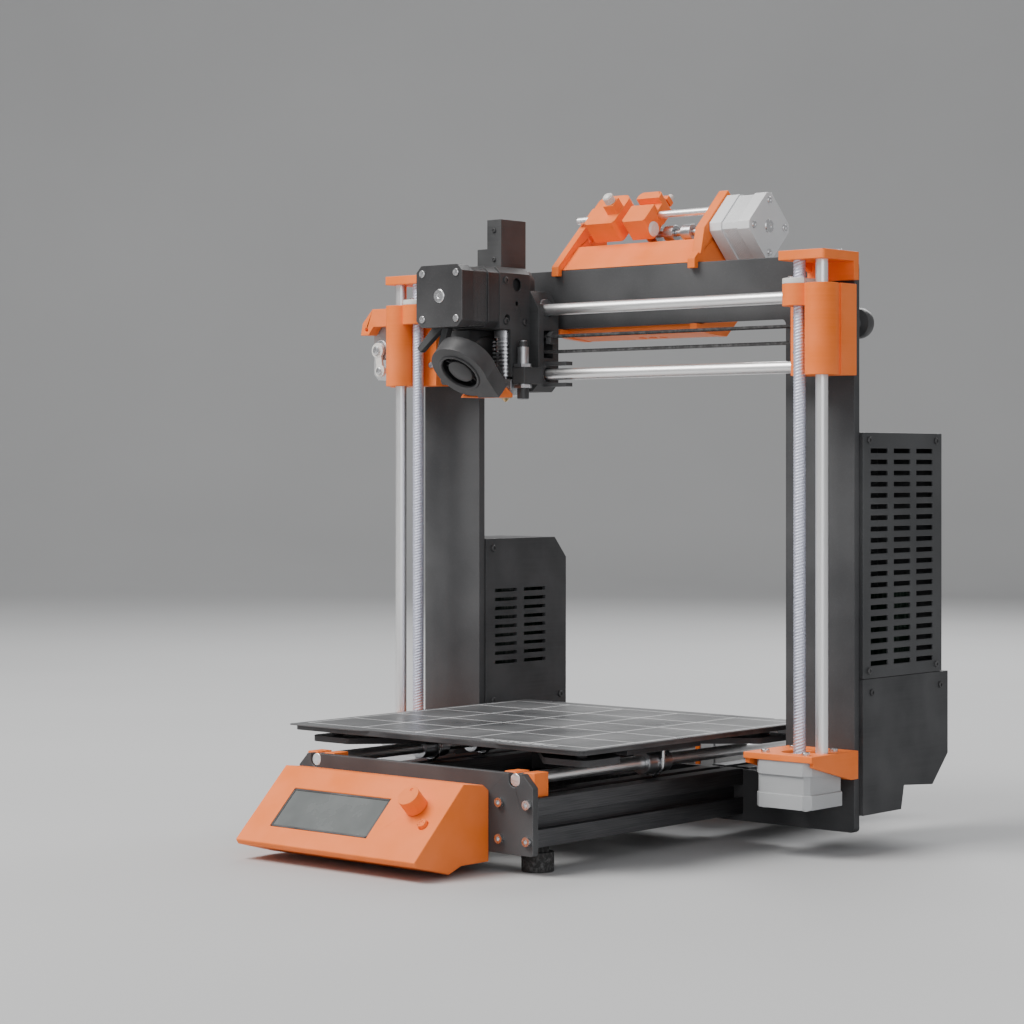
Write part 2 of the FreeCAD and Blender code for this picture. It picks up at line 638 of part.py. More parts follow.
def belt_wheels():
    """Driven wheels on the motor shafts and idlers at the far ends of the belts."""
    pulley((0, mm("y_pulley_y"), mm("y_drive_height")), "x", (-6, 32), "y_pulley")
    pulley((0, mm("y_idler_y"), mm("y_drive_height")), "x", None, "y_idler")
    pulley((mm("x_motor_x"), ROD_Y, mm("x_drive_height")), "y", (-6, 30), "x_pulley")
    pulley((mm("x_idler_x"), ROD_Y, mm("x_drive_height")), "y", None, "x_idler")


# ---------------------------------------------------------------- print head
CAR_X = mm("carriage_left")
CAR_RIGHT = CAR_X + mm("carriage_wide")
FIL_X, FIL_Y = mm("filament_x"), mm("filament_y")
BLOCK_LOW = mm("nozzle_tip") + 4.0


def carriage():
    """Black printed carriage with its three bearings on the two cross rods."""
    low, high = mm("carriage_low"), mm("carriage_high")
    front, deep = mm("carriage_front"), mm("carriage_deep")
    slab = prism("XZ_Plane", [(CAR_X, low + 3), (CAR_X + 3, low), (CAR_RIGHT - 6, low),
                              (CAR_RIGHT, low + 6), (CAR_RIGHT, high - 12),
                              (CAR_RIGHT - 8, high), (CAR_X + 3, high), (CAR_X, high - 3)],
                 "sizes.carriage_deep", (0, front, 0), "carriage_slab")
    middle = mm("x_drive_height")
    passage = block(80, 9.5, 19, (CAR_X - 10, ROD_Y - 4.75, middle - 9.5))
    seats, sleeves = [], []
    for z, starts in ((mm("x_rod_high"), (CAR_X + 2, CAR_RIGHT - 26)),
                      (mm("x_rod_low"), (CAR_X + 16,))):
        seats.append(round_bar("sizes.rod_radius + 1", 80, (CAR_X - 10, ROD_Y, z), "x"))
        for start in starts:
            seats.append(round_bar("sizes.bearing_radius", "sizes.bearing_long",
                                   (start, ROD_Y, z), "x"))
            sleeve = round_bar("sizes.bearing_radius", "sizes.bearing_long",
                               (start, ROD_Y, z), "x")
            bore = round_bar("sizes.rod_radius + sizes.running_gap", 40,
                             (start - 5, ROD_Y, z), "x")
            sleeves.append(cut(sleeve, bore, name="x_bearing"))
    grooves = [block(60, 3, 2.5, (CAR_X - 2, front + deep - 1.6, z - 1.25))
               for z in (mm("x_rod_high"), mm("x_rod_low"))]
    body = cut(slab, passage, *seats, *grooves, name="carriage_body")
    fingers = [block(21, 7, 2.6, (CAR_RIGHT - 2, ROD_Y - 3.5, z))
               for z in (mm("x_rod_low") - 8.6, mm("x_rod_low") + 6)]
    clamp = block(10, 6, 2.4, (CAR_X + 24, ROD_Y + 3.4, middle - 9.6))
    probe = (mm("housing_right") + 5.5, FIL_Y - 4)
    holder = cut(block(11, front + 14.5, 11.5, (probe[0] - 5.5, -14, low + 5)),
                 round_bar("sizes.probe_radius", 30, (*probe, low)), name="probe_holder")
    back_plate = prism("XZ_Plane", [(-100, high - 4), (-66, high - 4), (-66, high + 8),
                                    (-70, high + 14), (-100, high + 14)],
                       7.5, (0, front, 0), "back_plate")
    keep(fuse(body, *fingers, clamp, holder, back_plate, name="x_carriage"), "x_carriage")
    barrel = round_bar("sizes.probe_radius", 36, (*probe, mm("nozzle_tip") + 1.5))
    cable_end = round_bar(2.6, 5, (*probe, mm("nozzle_tip") + 37))
    keep(fuse(barrel, cable_end, name="bed_probe"), "bed_probe")
    keep(group(*sleeves, name="x_bearings"), "x_bearings")


def extruder():
    """Filament drive: housing, motor, sprung idler, hobbed wheel and sensor tower."""
    motor_x, axis_z = mm("e_motor_x"), mm("e_motor_height")
    long = 38.0
    face = mm("e_motor_front") + long
    back = mm("carriage_front")
    motor = stepper(mm("motor_side"), long, "extruder_motor", mm("shaft_radius") + 0.05)
    keep(placed(motor, (motor_x, face, axis_z), Rotation(V(1, 0, 0), -90)), "extruder_motor")

    low = 340.5
    top, right = 383.5, mm("housing_right")
    shell = prism("XZ_Plane", [(-106, low), (right, low), (right, top - 4.5), (right - 4, top),
                               (-106, top)],
                  back - face, (0, face, 0), "housing")
    boss = round_bar("sizes.boss_radius + 0.2", 2.3, (motor_x, face - 0.1, axis_z), "y")
    chamber = block(17, 13, 19, (motor_x - 7, FIL_Y - 7, axis_z - 9))
    lever_bay = block(10.9, 13, 31.5, (motor_x + 9.5, FIL_Y - 7, axis_z - 14))
    windows = [round_bar(radius, 3, (right - 2.4, FIL_Y - 4, z), "x")
               for radius, z in ((4.5, axis_z + 9.5), (1.6, axis_z - 3.5))]
    shaft_hole = round_bar("sizes.shaft_radius + 0.5", 60, (motor_x, face - 10, axis_z), "y")
    path = round_bar(1.6, 80, (FIL_X, FIL_Y, low - 10))
    side_hole = round_bar(2.8, 30, (-80, face + 8, axis_z - 14), "x")
    pivot_x, pivot_z = motor_x + 14.3, axis_z - 10
    pin = round_bar("sizes.bolt_radius", 15, (pivot_x, FIL_Y - 8, pivot_z), "y")
    hollowed = cut(shell, boss, chamber, lever_bay, shaft_hole, path, side_hole, *windows)
    guard_low = BLOCK_LOW + 13
    guard = block(2, 20, low + 1 - guard_low, (right - 2, back - 20, guard_low))
    keep(fuse(hollowed, pin, guard, name="extruder_housing"), "extruder_housing")

    wheel = round_bar(4.2, 11, (motor_x, FIL_Y - 5.5, axis_z), "y")
    groove = doc.addObject("Part::Torus", "hob_groove")
    groove.Radius1 = 5.3
    groove.Radius2 = 1.6
    groove.Placement = Placement(V(motor_x, FIL_Y, axis_z), TURN["y"])
    bore = round_bar("sizes.shaft_radius", 30, (motor_x, FIL_Y - 15, axis_z), "y")
    spindle = round_bar("sizes.shaft_radius", 43, (motor_x, face - 16, axis_z), "y")
    keep(group(cut(wheel, groove, bore), spindle, name="drive_wheel"), "drive_wheel")

    arm = prism("XZ_Plane", [(pivot_x - 3, pivot_z - 3, 2), (pivot_x + 3, pivot_z - 3, 2),
                             (pivot_x + 3, axis_z + 14, 1), (pivot_x - 3, axis_z + 14, 1)],
                10, (0, FIL_Y - 5, 0), "idler_arm")
    eye = round_bar("sizes.bolt_radius + sizes.running_gap", 30, (pivot_x, FIL_Y - 15, pivot_z), "y")
    keep(cut(arm, eye, name="idler_lever"), "idler_lever")

    tower = block(13, 26, 33, (FIL_X - 4, FIL_Y - 15, top))
    step = block(9, 26, 13, (FIL_X - 13, FIL_Y - 15, top))
    inlet = round_bar(2.1, 60, (FIL_X, FIL_Y, 380))
    keep(cut(fuse(tower, step), inlet, name="filament_sensor"), "filament_sensor")


def hot_end():
    """Finned heat sink, heater block and nozzle under the drive, with both fans."""
    sink_low, sink_high = BLOCK_LOW + 13.5, 340.3
    core = round_bar(6.5, sink_high - sink_low, (FIL_X, FIL_Y, sink_low))
    fins = []
    fin_z = sink_low
    while fin_z < sink_high - 8:
        fins.append(round_bar("sizes.sink_radius", 1.2, (FIL_X, FIL_Y, fin_z)))
        fin_z += 2.6
    collar = round_bar(8, 5, (FIL_X, FIL_Y, sink_high - 5))
    bore = round_bar(1.0, 80, (FIL_X, FIL_Y, sink_low - 10))
    keep(cut(fuse(core, collar, *fins), bore, name="heat_sink"), "heat_sink")

    block_body = block(18, 15, 11.5, (FIL_X - 6.5, FIL_Y - 7.5, BLOCK_LOW))
    throat = round_bar(3, 2, (FIL_X, FIL_Y, BLOCK_LOW + 11.5))
    heater = fuse(block_body, throat, name="heater_body")
    tip = doc.addObject("Part::Cone", "nozzle_tip")
    tip.Radius1 = 0.6
    tip.Radius2 = 3.0
    tip.Height = 2.4
    tip.Placement = Placement(V(FIL_X, FIL_Y, mm("nozzle_tip")), Rotation())
    hexagon = [(3.8 * math.cos(k * math.pi / 3), 3.8 * math.sin(k * math.pi / 3)) for k in range(6)]
    nut = prism("XY_Plane", hexagon, 1.6, (FIL_X, FIL_Y, BLOCK_LOW - 1.6), "nozzle_nut")
    keep(group(heater, fuse(tip, nut, name="nozzle"), name="heater_block"), "heater_block")

    back = mm("carriage_front")
    fan_y, fan_z, fan_x = -12.0, 321.0, -106.0
    duct_left = prism("YZ_Plane", rectangle(-31, 303, back, 340.3), 17, (fan_x, 0, 0), "cowl")
    throat_hole = round_bar(16.0, 40, (fan_x - 5, fan_y, fan_z), "x")
    cowl = cut(duct_left, throat_hole, name="fan_cowl")

    frame = prism("YZ_Plane", rectangle(fan_y - 18.5, fan_z - 18, fan_y + 16, fan_z + 18, 3), 10,
                  (fan_x - 10, 0, 0), "fan_frame")
    ring = cut(frame, round_bar(16.0, 12, (fan_x - 11, fan_y, fan_z), "x"))
    hub = round_bar(8, 2, (fan_x - 2, fan_y, fan_z), "x")
    spokes = [block(2, 3, 35, (fan_x - 2, fan_y - 1.5, fan_z - 17.5)),
              block(2, 34, 3, (fan_x - 2, fan_y - 18, fan_z - 1.5))]
    stub = round_bar(1.5, 8, (fan_x - 9, fan_y, fan_z), "x")
    fan = fuse(ring, hub, stub, *spokes, name="fan_frame_whole")
    keep(group(cowl, fan, name="hotend_fan"), "hotend_fan")
    keep(fan_wheel(14.8, 6.0, 5.5, 1.55, 7, (fan_x - 9, fan_y, fan_z),
                   Rotation(V(0, 1, 0), 90), "fan_rotor"), "fan_rotor")


def fan_wheel(radius, hub_radius, high, bore_radius, blades, position, turn, name):
    """Hub with pitched blades, turning about its own +Z."""
    hub = round_bar(hub_radius, high, (0, 0, 0))
    fins = []
    for index in range(blades):
        fin = block(radius - hub_radius + 1.5, 0.9, high * 0.9, (0, 0, 0))
        pitch = Rotation(V(1, 0, 0), 28)
        around = Rotation(V(0, 0, 1), index * 360.0 / blades)
        fin.Placement = Placement(around.multVec(V(hub_radius - 1.5, 0, 0.2)), around * pitch)
        fins.append(fin)
    bore = round_bar(bore_radius, high + 4, (0, 0, -2))
    limit = round_bar(radius, high, (0, 0, 0))
    whole = doc.addObject("Part::MultiCommon", name + "_limit")
    whole.Shapes = [fuse(hub, *fins), limit]
    return placed(cut(whole, bore, name=name), position, turn)


def part_cooler():
    """Tilted radial blower in front of the hot end, its impeller, arm and orange duct."""
    radius, thick = mm("blower_radius"), mm("blower_thick")
    turn = Rotation(V(1, 0, 0), 90 + mm("blower_tilt"))
    centre = V(-77.0, -49.0, 314.5)
    case = round_bar("sizes.blower_radius", "sizes.blower_thick", (0, 0, 0))
    spout = block(19, radius + 2, thick, (2, -radius - 2, 0))
    chamber = round_bar("sizes.blower_radius - 2", thick - 3, (0, 0, 1.5))
    throat = block(16, radius + 4, thick - 3, (3.5, -radius - 4, 1.5))
    mouth = round_bar(13.5, thick, (0, 0, thick - 3))
    stub = round_bar(1.5, thick - 4, (0, 0, 1))
    shell = fuse(cut(fuse(case, spout), chamber, throat, mouth), stub, name="part_blower")
    keep(placed(shell, centre - turn.multVec(V(0, 0, thick / 2)), turn), "part_blower")
    rotor = impeller(thick - 4.5, name="blower_rotor")
    keep(placed(rotor, centre - turn.multVec(V(0, 0, thick / 2 - 2)), turn), "blower_rotor")

    duct = prism("YZ_Plane", [(-35.2, 293.6), (-14.5, 293.6), (-14.5, 296), (-22, 301),
                              (-27.8, 301)], 30, (-93, 0, 0), "duct_body")
    hollow = prism("YZ_Plane", [(-35.3, 295), (-13, 295), (-22.8, 299.7), (-30.6, 299.7)],
                   27, (-91.5, 0, 0), "duct_hollow")
    keep(cut(duct, hollow, name="fan_duct"), "fan_duct")


def impeller(high, name):
    """Radial fan wheel: a backing disc, a hub and a ring of upright blades."""
    disc = round_bar(13.0, 1.2, (0, 0, 0))
    hub = round_bar(9.6, high - 1, (0, 0, 0))
    vanes = []
    for index in range(16):
        vane = block(3.6, 0.8, high - 1.6, (0, 0, 0))
        around = Rotation(V(0, 0, 1), index * 22.5)
        vane.Placement = Placement(around.multVec(V(9.3, 0, 0.4)),
                                   around * Rotation(V(0, 0, 1), 14))
        vanes.append(vane)
    bore = round_bar(1.55, high + 4, (0, 0, -2))
    return cut(fuse(disc, hub, *vanes), bore, name=name)


# ---------------------------------------------------------------- control panel
PANEL_X = mm("panel_left")
PANEL_FOOT = V(0, -249.5, 12.5)
SLOPE = Rotation(V(1, 0, 0), mm("panel_slope"))


def on_panel(x, up, out=0.0):
    """Point on the sloping face: x across, up the slope from its lower edge, out of it."""
    return V(x, 0, 0) + PANEL_FOOT + SLOPE.multVec(V(0, up, out))


def sloped(piece, x, up, out):
    """Stand a piece built on z = 0 on the sloping face."""
    return placed(piece, on_panel(x, up, out), SLOPE)


def control_panel():
    """Printed panel cover with screen, its board, turning knob and reset button."""
    wide, wall = mm("panel_wide"), mm("panel_wall")
    back = mm("front_face") - 0.2
    foot_y, foot_z = PANEL_FOOT.y, PANEL_FOOT.z
    top = on_panel(0, 61.0)
    profile = [(foot_y, foot_z), (foot_y + 2, foot_z - 3), (-219, 2), (-208, 6), (back, 6),
               (back, 49.5), (-188, 53), (top.y, top.z)]
    inner = [(foot_y + 5.3, foot_z + 0.5), (-217, 5.2), (-209, 9), (back + 1, 9),
             (back + 1, 46.6), (-189, 49.6), (top.y + 1.2, top.z - 4.2)]
    shell = prism("YZ_Plane", profile, "sizes.panel_wide", (PANEL_X, 0, 0), "panel_shell")
    hollow = prism("YZ_Plane", inner, wide - 2 * wall, (PANEL_X + wall, 0, 0), "panel_hollow")
    screen = block(mm("screen_wide"), mm("screen_high"), 12, (0, 0, 0))
    sloped(screen, -68, 13.5, -6)
    knob_up = mm("knob_up")
    knob_hole = sloped(round_bar(3.6, 20, (0, 0, 0)), 40.5, knob_up, -12)
    button_hole = sloped(round_bar("sizes.button_radius + 0.3", 20, (0, 0, 0)), 53.5, 28, -12)
    card_slot = block(10, 26, 3.2, (PANEL_X - 3, -226, 20))
    keep(cut(shell, hollow, screen, knob_hole, button_hole, card_slot, name="panel_cover"),
         "panel_cover")

    glass = block("sizes.screen_wide - 0.4", "sizes.screen_high - 0.4", 3.6, (0, 0, 0))
    bezel = block("sizes.screen_wide + 10", "sizes.screen_high + 8", 2.5, (-5, -4, -2.5))
    keep(sloped(fuse(glass, bezel, name="screen"), -67.8, 13.7, -4.2), "screen")
    board = block(134, 44, 1.6, (0, 0, 0))
    encoder = block(12, 12, 3, (108.5, knob_up - 19, 1.6))
    encoder_hole = round_bar(1.5 + 0.05, 9, (114.5, knob_up - 13, -2))
    switch_base = block(8, 8, 1.6, (123.5, 11, 1.6))
    boards.append(sloped(cut(fuse(board, encoder, switch_base), encoder_hole,
                             name="panel_board"), -74, 13, -8.8))

    knob = round_bar("sizes.knob_radius", "sizes.knob_high", (0, 0, 0))
    stem = round_bar(3.0, 2.3, (0, 0, -2.3))
    shaft = round_bar(1.5, 10, (0, 0, -9.5))
    groove = round_bar(1.2, 3, (0, mm("knob_radius") - 2.8, mm("knob_high") - 0.8))
    keep(sloped(cut(fuse(knob, stem, shaft), groove, name="panel_knob"), 40.5, knob_up, 0.6),
         "panel_knob")
    cap = round_bar("sizes.button_radius", 6.6, (0, 0, -4.3))
    cross = [block(4.4, 1.0, 0.8, (-2.2, -0.5, 1.8)), block(1.0, 4.4, 0.8, (-0.5, -2.2, 1.8))]
    keep(sloped(cut(cap, *cross, name="reset_button"), 53.5, 28, 0), "reset_button")


# ---------------------------------------------------------------- power supply, board case
def louvres(x, ys, zs, wide, high, deep):
    """Grid of slots through a wall that faces +X or -X."""
    slots = [block(deep, wide, high, (x - deep / 2, y, z)) for y in ys for z in zs]
    return group(*slots, name="slots")


def power_supply():
    """Steel supply case above a printed terminal cover with inlet and rocker switch."""
    left, wide = mm("supply_left"), mm("supply_wide")
    low, high, front = mm("supply_low"), mm("supply_high"), FRAME_BACK + 0.2
    deep, wall = mm("supply_deep"), mm("sheet_wall")
    case = block("sizes.supply_wide", "sizes.supply_deep", "sizes.supply_high - sizes.supply_low",
                 (left, front, low))
    inside = block(wide - 2 * wall, deep - 2 * wall, high - low - wall + 1,
                   (left + wall, front + wall, low - 1))
    columns = [front + 9 + 27 * k for k in range(3)]
    rows = [low + 8 + 7.2 * k for k in range(20)]
    vents = louvres(left + wide, columns, rows, 20, 3.0, 6)
    keep(cut(case, inside, vents, name="supply_case"), "supply_case")
    bricks = [block(16, 30, 60, (left + 8, front + 12, low + 12)),
              block(22, 24, 34, (left + 12, front + 56, low + 20)),
              block(wide - 2 * wall - 1, deep - 2 * wall - 4, 1.6,
                    (left + wall + 0.5, front + wall + 2, low + 6))]
    posts = [block(16, 30, 5, (left + 8, front + 12, low + 7.4)),
             block(22, 24, 13, (left + 12, front + 56, low + 7.4))]
    boards.append(fuse(*bricks, *posts, name="supply_board"))

    rear, skin = 138.0, mm("cover_wall")
    profile = [(front, low - 0.2), (rear, low - 0.2), (rear, 55), (119, 35.5), (84.5, 38),
               (81, 22.6), (front, 22.6)]
    inner = [(front + skin, low + 1), (rear - skin, low + 1), (rear - skin, 56.5),
             (118, 38.2), (82.4, 40.7), (78.8, 22.6 + skin), (front + skin, 22.6 + skin)]
    shell = prism("YZ_Plane", profile, "sizes.supply_wide", (left, 0, 0), "cover_shell")
    hollow = prism("YZ_Plane", inner, wide - 2 * skin, (left + skin, 0, 0), "cover_hollow")
    socket_hole = block(27.5, 10, 20.5, (left + 5, rear - 6, 70))
    switch_hole = block(11, 10, 20.5, (left + 36, rear - 6, 70))
    keep(cut(shell, hollow, socket_hole, switch_hole, name="supply_cover"), "supply_cover")

    body = block(27, 22, 20, (left + 5.25, rear - 22, 70.25))
    cavity = block(22, 17, 14, (left + 7.75, rear - 16, 73.25))
    pins = [block(1.5, 8, 4, (left + 18 + dx, rear - 17, 79 + dz))
            for dx, dz in ((0, 2), (-6, -3), (6, -3))]
    inlet = fuse(cut(body, cavity), *pins, name="mains_socket")
    frame = block(10.5, 12, 20, (left + 36.25, rear - 12, 70.25))
    pocket = block(8.5, 9, 17, (left + 37.25, rear - 8, 71.75))
    axle = round_bar(1.0, 10, (left + 36.5, rear - 3.5, 80.25), "x")
    switch = fuse(cut(frame, pocket), axle, name="switch_body")
    keep(group(inlet, switch, name="mains_inlet"), "mains_inlet")
    rocker = prism("YZ_Plane", [(rear - 5.5, 73.6), (rear + 1.8, 72.6), (rear - 0.6, 80.25),
                                (rear + 1.8, 87.9), (rear - 5.5, 86.9)],
                   8.0, (left + 37.5, 0, 0), "rocker")
    keep(cut(rocker, round_bar(1.05, 20, (left + 30, rear - 3.5, 80.25), "x"),
             name="power_rocker"), "power_rocker")


def board_case():
    """Control-board case behind the left upright, with a hinged side door."""
    left, wide, low, front = mm("case_left"), mm("case_wide"), mm("case_low"), FRAME_BACK + 0.2
    rear, high = 126.0, 194.0
    profile = [(front, low), (rear, low), (rear, 179), (113, high), (front, high)]
    skin = mm("cover_wall")
    inner = [(front + skin, low + skin), (rear - skin, low + skin), (rear - skin, 178),
             (112, high - skin), (front + skin, high - skin)]
    shell = prism("YZ_Plane", profile, "sizes.case_wide", (left, 0, 0), "case_shell")
    hollow = prism("YZ_Plane", inner, wide - skin, (left - 1, 0, 0), "case_hollow")
    vents = louvres(left + wide, [front + 10, front + 42], [103 + 6.5 * k for k in range(9)],
                    24, 2.6, 8)
    cable_port = block(18, 20, 14, (left + 20, rear - 10, low + 8))
    hinge_x, hinge_y = left - 2.2, rear + 1.6
    ears = []
    for z in (low + 6, 166):
        ear = block(4.2, 2.2, 6, (hinge_x - 0.4, rear - 0.6, z))
        barrel = round_bar(2.2, 6, (hinge_x, hinge_y, z))
        ears.append(fuse(ear, barrel, name="ear"))
    pin = round_bar(1.0, 166 - low, (hinge_x, hinge_y, low + 6))
    root = block(2.5, 3, 6, (left - 1, rear - 1.6, low + 6))
    root_top = block(2.5, 3, 6, (left - 1, rear - 1.6, 166))
    keep(fuse(cut(shell, hollow, vents, cable_port), *ears, pin, root, root_top,
              name="board_case"), "board_case")

    door = prism("YZ_Plane", [(front + 1, low + 1), (rear - 1.6, low + 1), (rear - 1.6, 178),
                              (112, high - 1), (front + 1, high - 1)],
                 "sizes.door_thick", (left - 0.2 - mm("door_thick"), 0, 0), "door_panel")
    knuckle = round_bar(2.2, 60, (hinge_x, hinge_y, 92))
    leaf = block(1.6, 5, 60, (left - 0.2 - mm("door_thick"), rear - 3, 92))
    knuckle_bore = round_bar(1.05, 200, (hinge_x, hinge_y, 20))
    slots = louvres(left - 1.5, [front + 14, front + 48], [110 + 8 * k for k in range(7)],
                    26, 2.6, 8)
    keep(cut(fuse(door, knuckle, leaf), knuckle_bore, slots, name="case_door"), "case_door")

    board_x = left + wide - 14
    pcb = block(1.6, 78, 96, (board_x, front + 6, low + 10))
    chips = [block(6, 9, 9, (board_x - 6, front + 14 + 14 * k, low + 62)) for k in range(5)]
    ports = [block(9, 60, 7, (board_x - 9, front + 14, low + 12)),
             block(9, 26, 8, (board_x - 9, front + 50, low + 92)),
             block(3, 12, 12, (board_x - 3, front + 34, low + 38))]
    boards.append(fuse(pcb, *chips, *ports, name="control_board"))


# ---------------------------------------------------------------- filament selector
SEL_FOOT = V(0, 30.0, 383.3)
SEL_TURN = Rotation(V(1, 0, 0), 45)


def on_selector(x, up, out=0.0):
    """Point on the selector's sloping front: up the slope from the beam, out of it."""
    return V(x, 0, 0) + SEL_FOOT + SEL_TURN.multVec(V(0, up, out))


GUIDE_AT = on_selector(0, 43.5, 8.0)


def leaned(piece, x, up, out):
    """Stand a piece built in the slope's own directions on the selector's front."""
    return placed(piece, on_selector(x, up, out), SEL_TURN)


def selector():
    """Filament selector on the top beam: cradle, brackets, drives and sliding selector."""
    left, wide = mm("selector_left"), mm("selector_wide")
    behind, under = FRAME_BACK + 0.3, mm("window_high") - 0.4
    profile = [(behind, 341), (41, 336.5), (62, 334.5), (80, 350), (80, 382.5), (62, 400.5),
               (47.2, 400.5), (SEL_FOOT.y, SEL_FOOT.z), (behind, SEL_FOOT.z)]
    inner = [(behind + 3, 345), (62, 338), (81, 353), (81, 379), (61, 397), (50, 397),
             (behind + 3, 384)]
    shell = prism("YZ_Plane", profile, "sizes.selector_wide", (left, 0, 0), "cradle_shell")
    hollow = prism("YZ_Plane", inner, wide - 6, (left + 3, 0, 0), "cradle_hollow")
    ports = group(*[round_bar(3.0, 30, (left + 52 + 9 * k, 55, 325)) for k in range(3)])
    cradle = cut(shell, hollow, ports, name="cradle")

    bracket_outline = [(25.5, 379), (29.7, 379), (29.7, 383.3), (behind, 383.3),
                       (behind, under), (28, under), (28, 337.5), (42, 335.5), (62, 334.2),
                       (80, 350), (80, 424, 3), (72, 431, 3), (25.5, 385.5, 1)]
    motor_at = V(0, 62.0, 407.0)
    brackets = []
    for start in (left - mm("bracket_thick") - 0.1, left + wide + 0.1):
        bracket = prism("YZ_Plane", bracket_outline, "sizes.bracket_thick", (start, 0, 0),
                        "bracket")
        guide = round_bar("sizes.guide_radius", 40, (start - 10, GUIDE_AT.y, GUIDE_AT.z), "x")
        drive = round_bar("sizes.shaft_radius + 0.3", 40, (start - 10, motor_at.y, motor_at.z), "x")
        brackets.append(cut(bracket, guide, drive, name="selector_bracket"))
    keep(group(cradle, *brackets, name="selector_cradle"), "selector_cradle")

    face_x = left + wide + 0.1 + mm("bracket_thick")
    side = mm("selector_motor_side")
    quarter_turn = Rotation(V(1, 0, 0), 45)
    motor = stepper(side, mm("selector_motor_long"), "selector_motor", mm("shaft_radius") + 0.05)
    placed(motor, (face_x + mm("boss_high") + 0.1, motor_at.y, motor_at.z),
           quarter_turn * Rotation(V(0, 1, 0), -90))
    keep(motor, "selector_motor")
    spindle_end = face_x + 14
    start = left + 47
    spindle = round_bar("sizes.shaft_radius", spindle_end - start,
                        (start, motor_at.y, motor_at.z), "x")
    wheels = [round_bar(5.5, 8, (start + 6 + 15 * k, motor_at.y, motor_at.z), "x")
              for k in range(3)]
    bore = round_bar("sizes.shaft_radius", 150, (start - 10, motor_at.y, motor_at.z), "x")
    keep(group(*[cut(wheel, bore, name="drive_roller") for wheel in wheels], spindle,
               name="feed_shaft"), "feed_shaft")

    idler = leaned(prism("XY_Plane", [(0, 0, 3), (27, 0, 3), (27, 30, 6), (0, 30, 6)], 17,
                         name="idler_case"), -43, 27, 0.4)
    guide_hole = round_bar("sizes.guide_radius", 300, (-150, GUIDE_AT.y, GUIDE_AT.z), "x")
    drive_hole = round_bar(7, 300, (-150, motor_at.y, motor_at.z), "x")
    tower = leaned(block(9, 9, 8, (0, 0, 0)), -26, 36, 17)
    keep(cut(fuse(idler, tower), guide_hole, drive_hole, name="idler_block"), "idler_block")

    slider = leaned(prism("XY_Plane", [(0, 0, 2), (20, 0, 2), (20, 31, 4), (0, 31, 4)], 17,
                          name="slider_block"), -9, 27, 0.4)
    slide_bore = round_bar("sizes.guide_radius + sizes.running_gap", 300,
                           (-150, GUIDE_AT.y, GUIDE_AT.z), "x")
    relief = round_bar(7, 300, (-150, motor_at.y, motor_at.z), "x")
    notch = leaned(block(30, 7, 9, (0, 0, 0)), -14, 44, 12)
    cap = leaned(block(18, 4, 7, (0, 0, 0)), -8, 58, 3)
    keep(cut(fuse(slider, cap), slide_bore, relief, notch, name="selector_slider"),
         "selector_slider")


# ---------------------------------------------------------------- build and export
def build():
    """Make every sub-part, in the order it goes together on the bench."""
    main_frame()
    end_plates()
    extrusions()
    rubber_feet()
    fixed_rods()
    bed_rod_holders()
    bed_drive()
    frame_bolts()
    z_columns()
    bed()
    gantry()
    belt_wheels()
    carriage()
    extruder()
    hot_end()
    part_cooler()
    control_panel()
    power_supply()
    board_case()
    keep(group(*boards, name="circuit_boards"), "circuit_boards")
    selector()


def export():
    """Centre the footprint on the origin, check every object and write the files."""
    shift = Placement(V(-mm("centre_x"), -mm("centre_y"), 0), Rotation())
    for piece in nodes:
        piece.Placement = shift.multiply(piece.Placement)
    doc.recompute()
    for obj in doc.Objects:
        if "Invalid" in obj.State or "Error" in obj.State:
            raise RuntimeError("%s failed: %s" % (obj.Name, obj.State))
    whole = FreeCAD.BoundBox()
    for piece in nodes:
        if piece.Shape.isNull() or not piece.Shape.isValid() or not piece.Shape.Solids:
            raise RuntimeError("bad shape in " + piece.Label)
        whole.add(piece.Shape.BoundBox)
    os.makedirs("parts", exist_ok=True)
    for piece in nodes:
        piece.Shape.exportStep(os.path.join("parts", piece.Label + ".step"))
    print("%d parts, box %s" % (len(nodes), whole))


build()
export()
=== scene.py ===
"""Looks of a desktop filament printer: materials, fine pieces, stage and camera round the CAD frame.

Metres, in the CAD frame: +X is the operator's right, +Y the rear, +Z up, origin under the middle.
"""
import json
import math

import bmesh
import bpy
from mathutils import Matrix, Vector


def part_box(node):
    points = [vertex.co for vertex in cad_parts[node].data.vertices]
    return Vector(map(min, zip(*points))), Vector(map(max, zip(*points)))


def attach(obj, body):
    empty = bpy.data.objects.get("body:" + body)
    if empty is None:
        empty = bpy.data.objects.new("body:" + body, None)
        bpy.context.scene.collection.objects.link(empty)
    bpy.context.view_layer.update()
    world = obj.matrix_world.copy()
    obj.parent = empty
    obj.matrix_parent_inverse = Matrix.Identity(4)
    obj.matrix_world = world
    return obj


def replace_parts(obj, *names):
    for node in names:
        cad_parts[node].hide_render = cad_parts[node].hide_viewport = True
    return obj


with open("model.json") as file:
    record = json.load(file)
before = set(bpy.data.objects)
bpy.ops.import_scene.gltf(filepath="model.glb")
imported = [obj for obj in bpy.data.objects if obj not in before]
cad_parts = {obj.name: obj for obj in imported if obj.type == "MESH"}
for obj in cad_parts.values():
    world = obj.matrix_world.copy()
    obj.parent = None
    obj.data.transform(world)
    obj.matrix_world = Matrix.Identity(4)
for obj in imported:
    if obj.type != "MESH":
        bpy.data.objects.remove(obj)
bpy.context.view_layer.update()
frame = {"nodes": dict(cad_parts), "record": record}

MM = 0.001
UP = Vector((0, 0, 1))
DOWN = Vector((0, 0, -1))
FRONT = Vector((0, -1, 0))
REAR = Vector((0, 1, 0))
RIGHT = Vector((1, 0, 0))
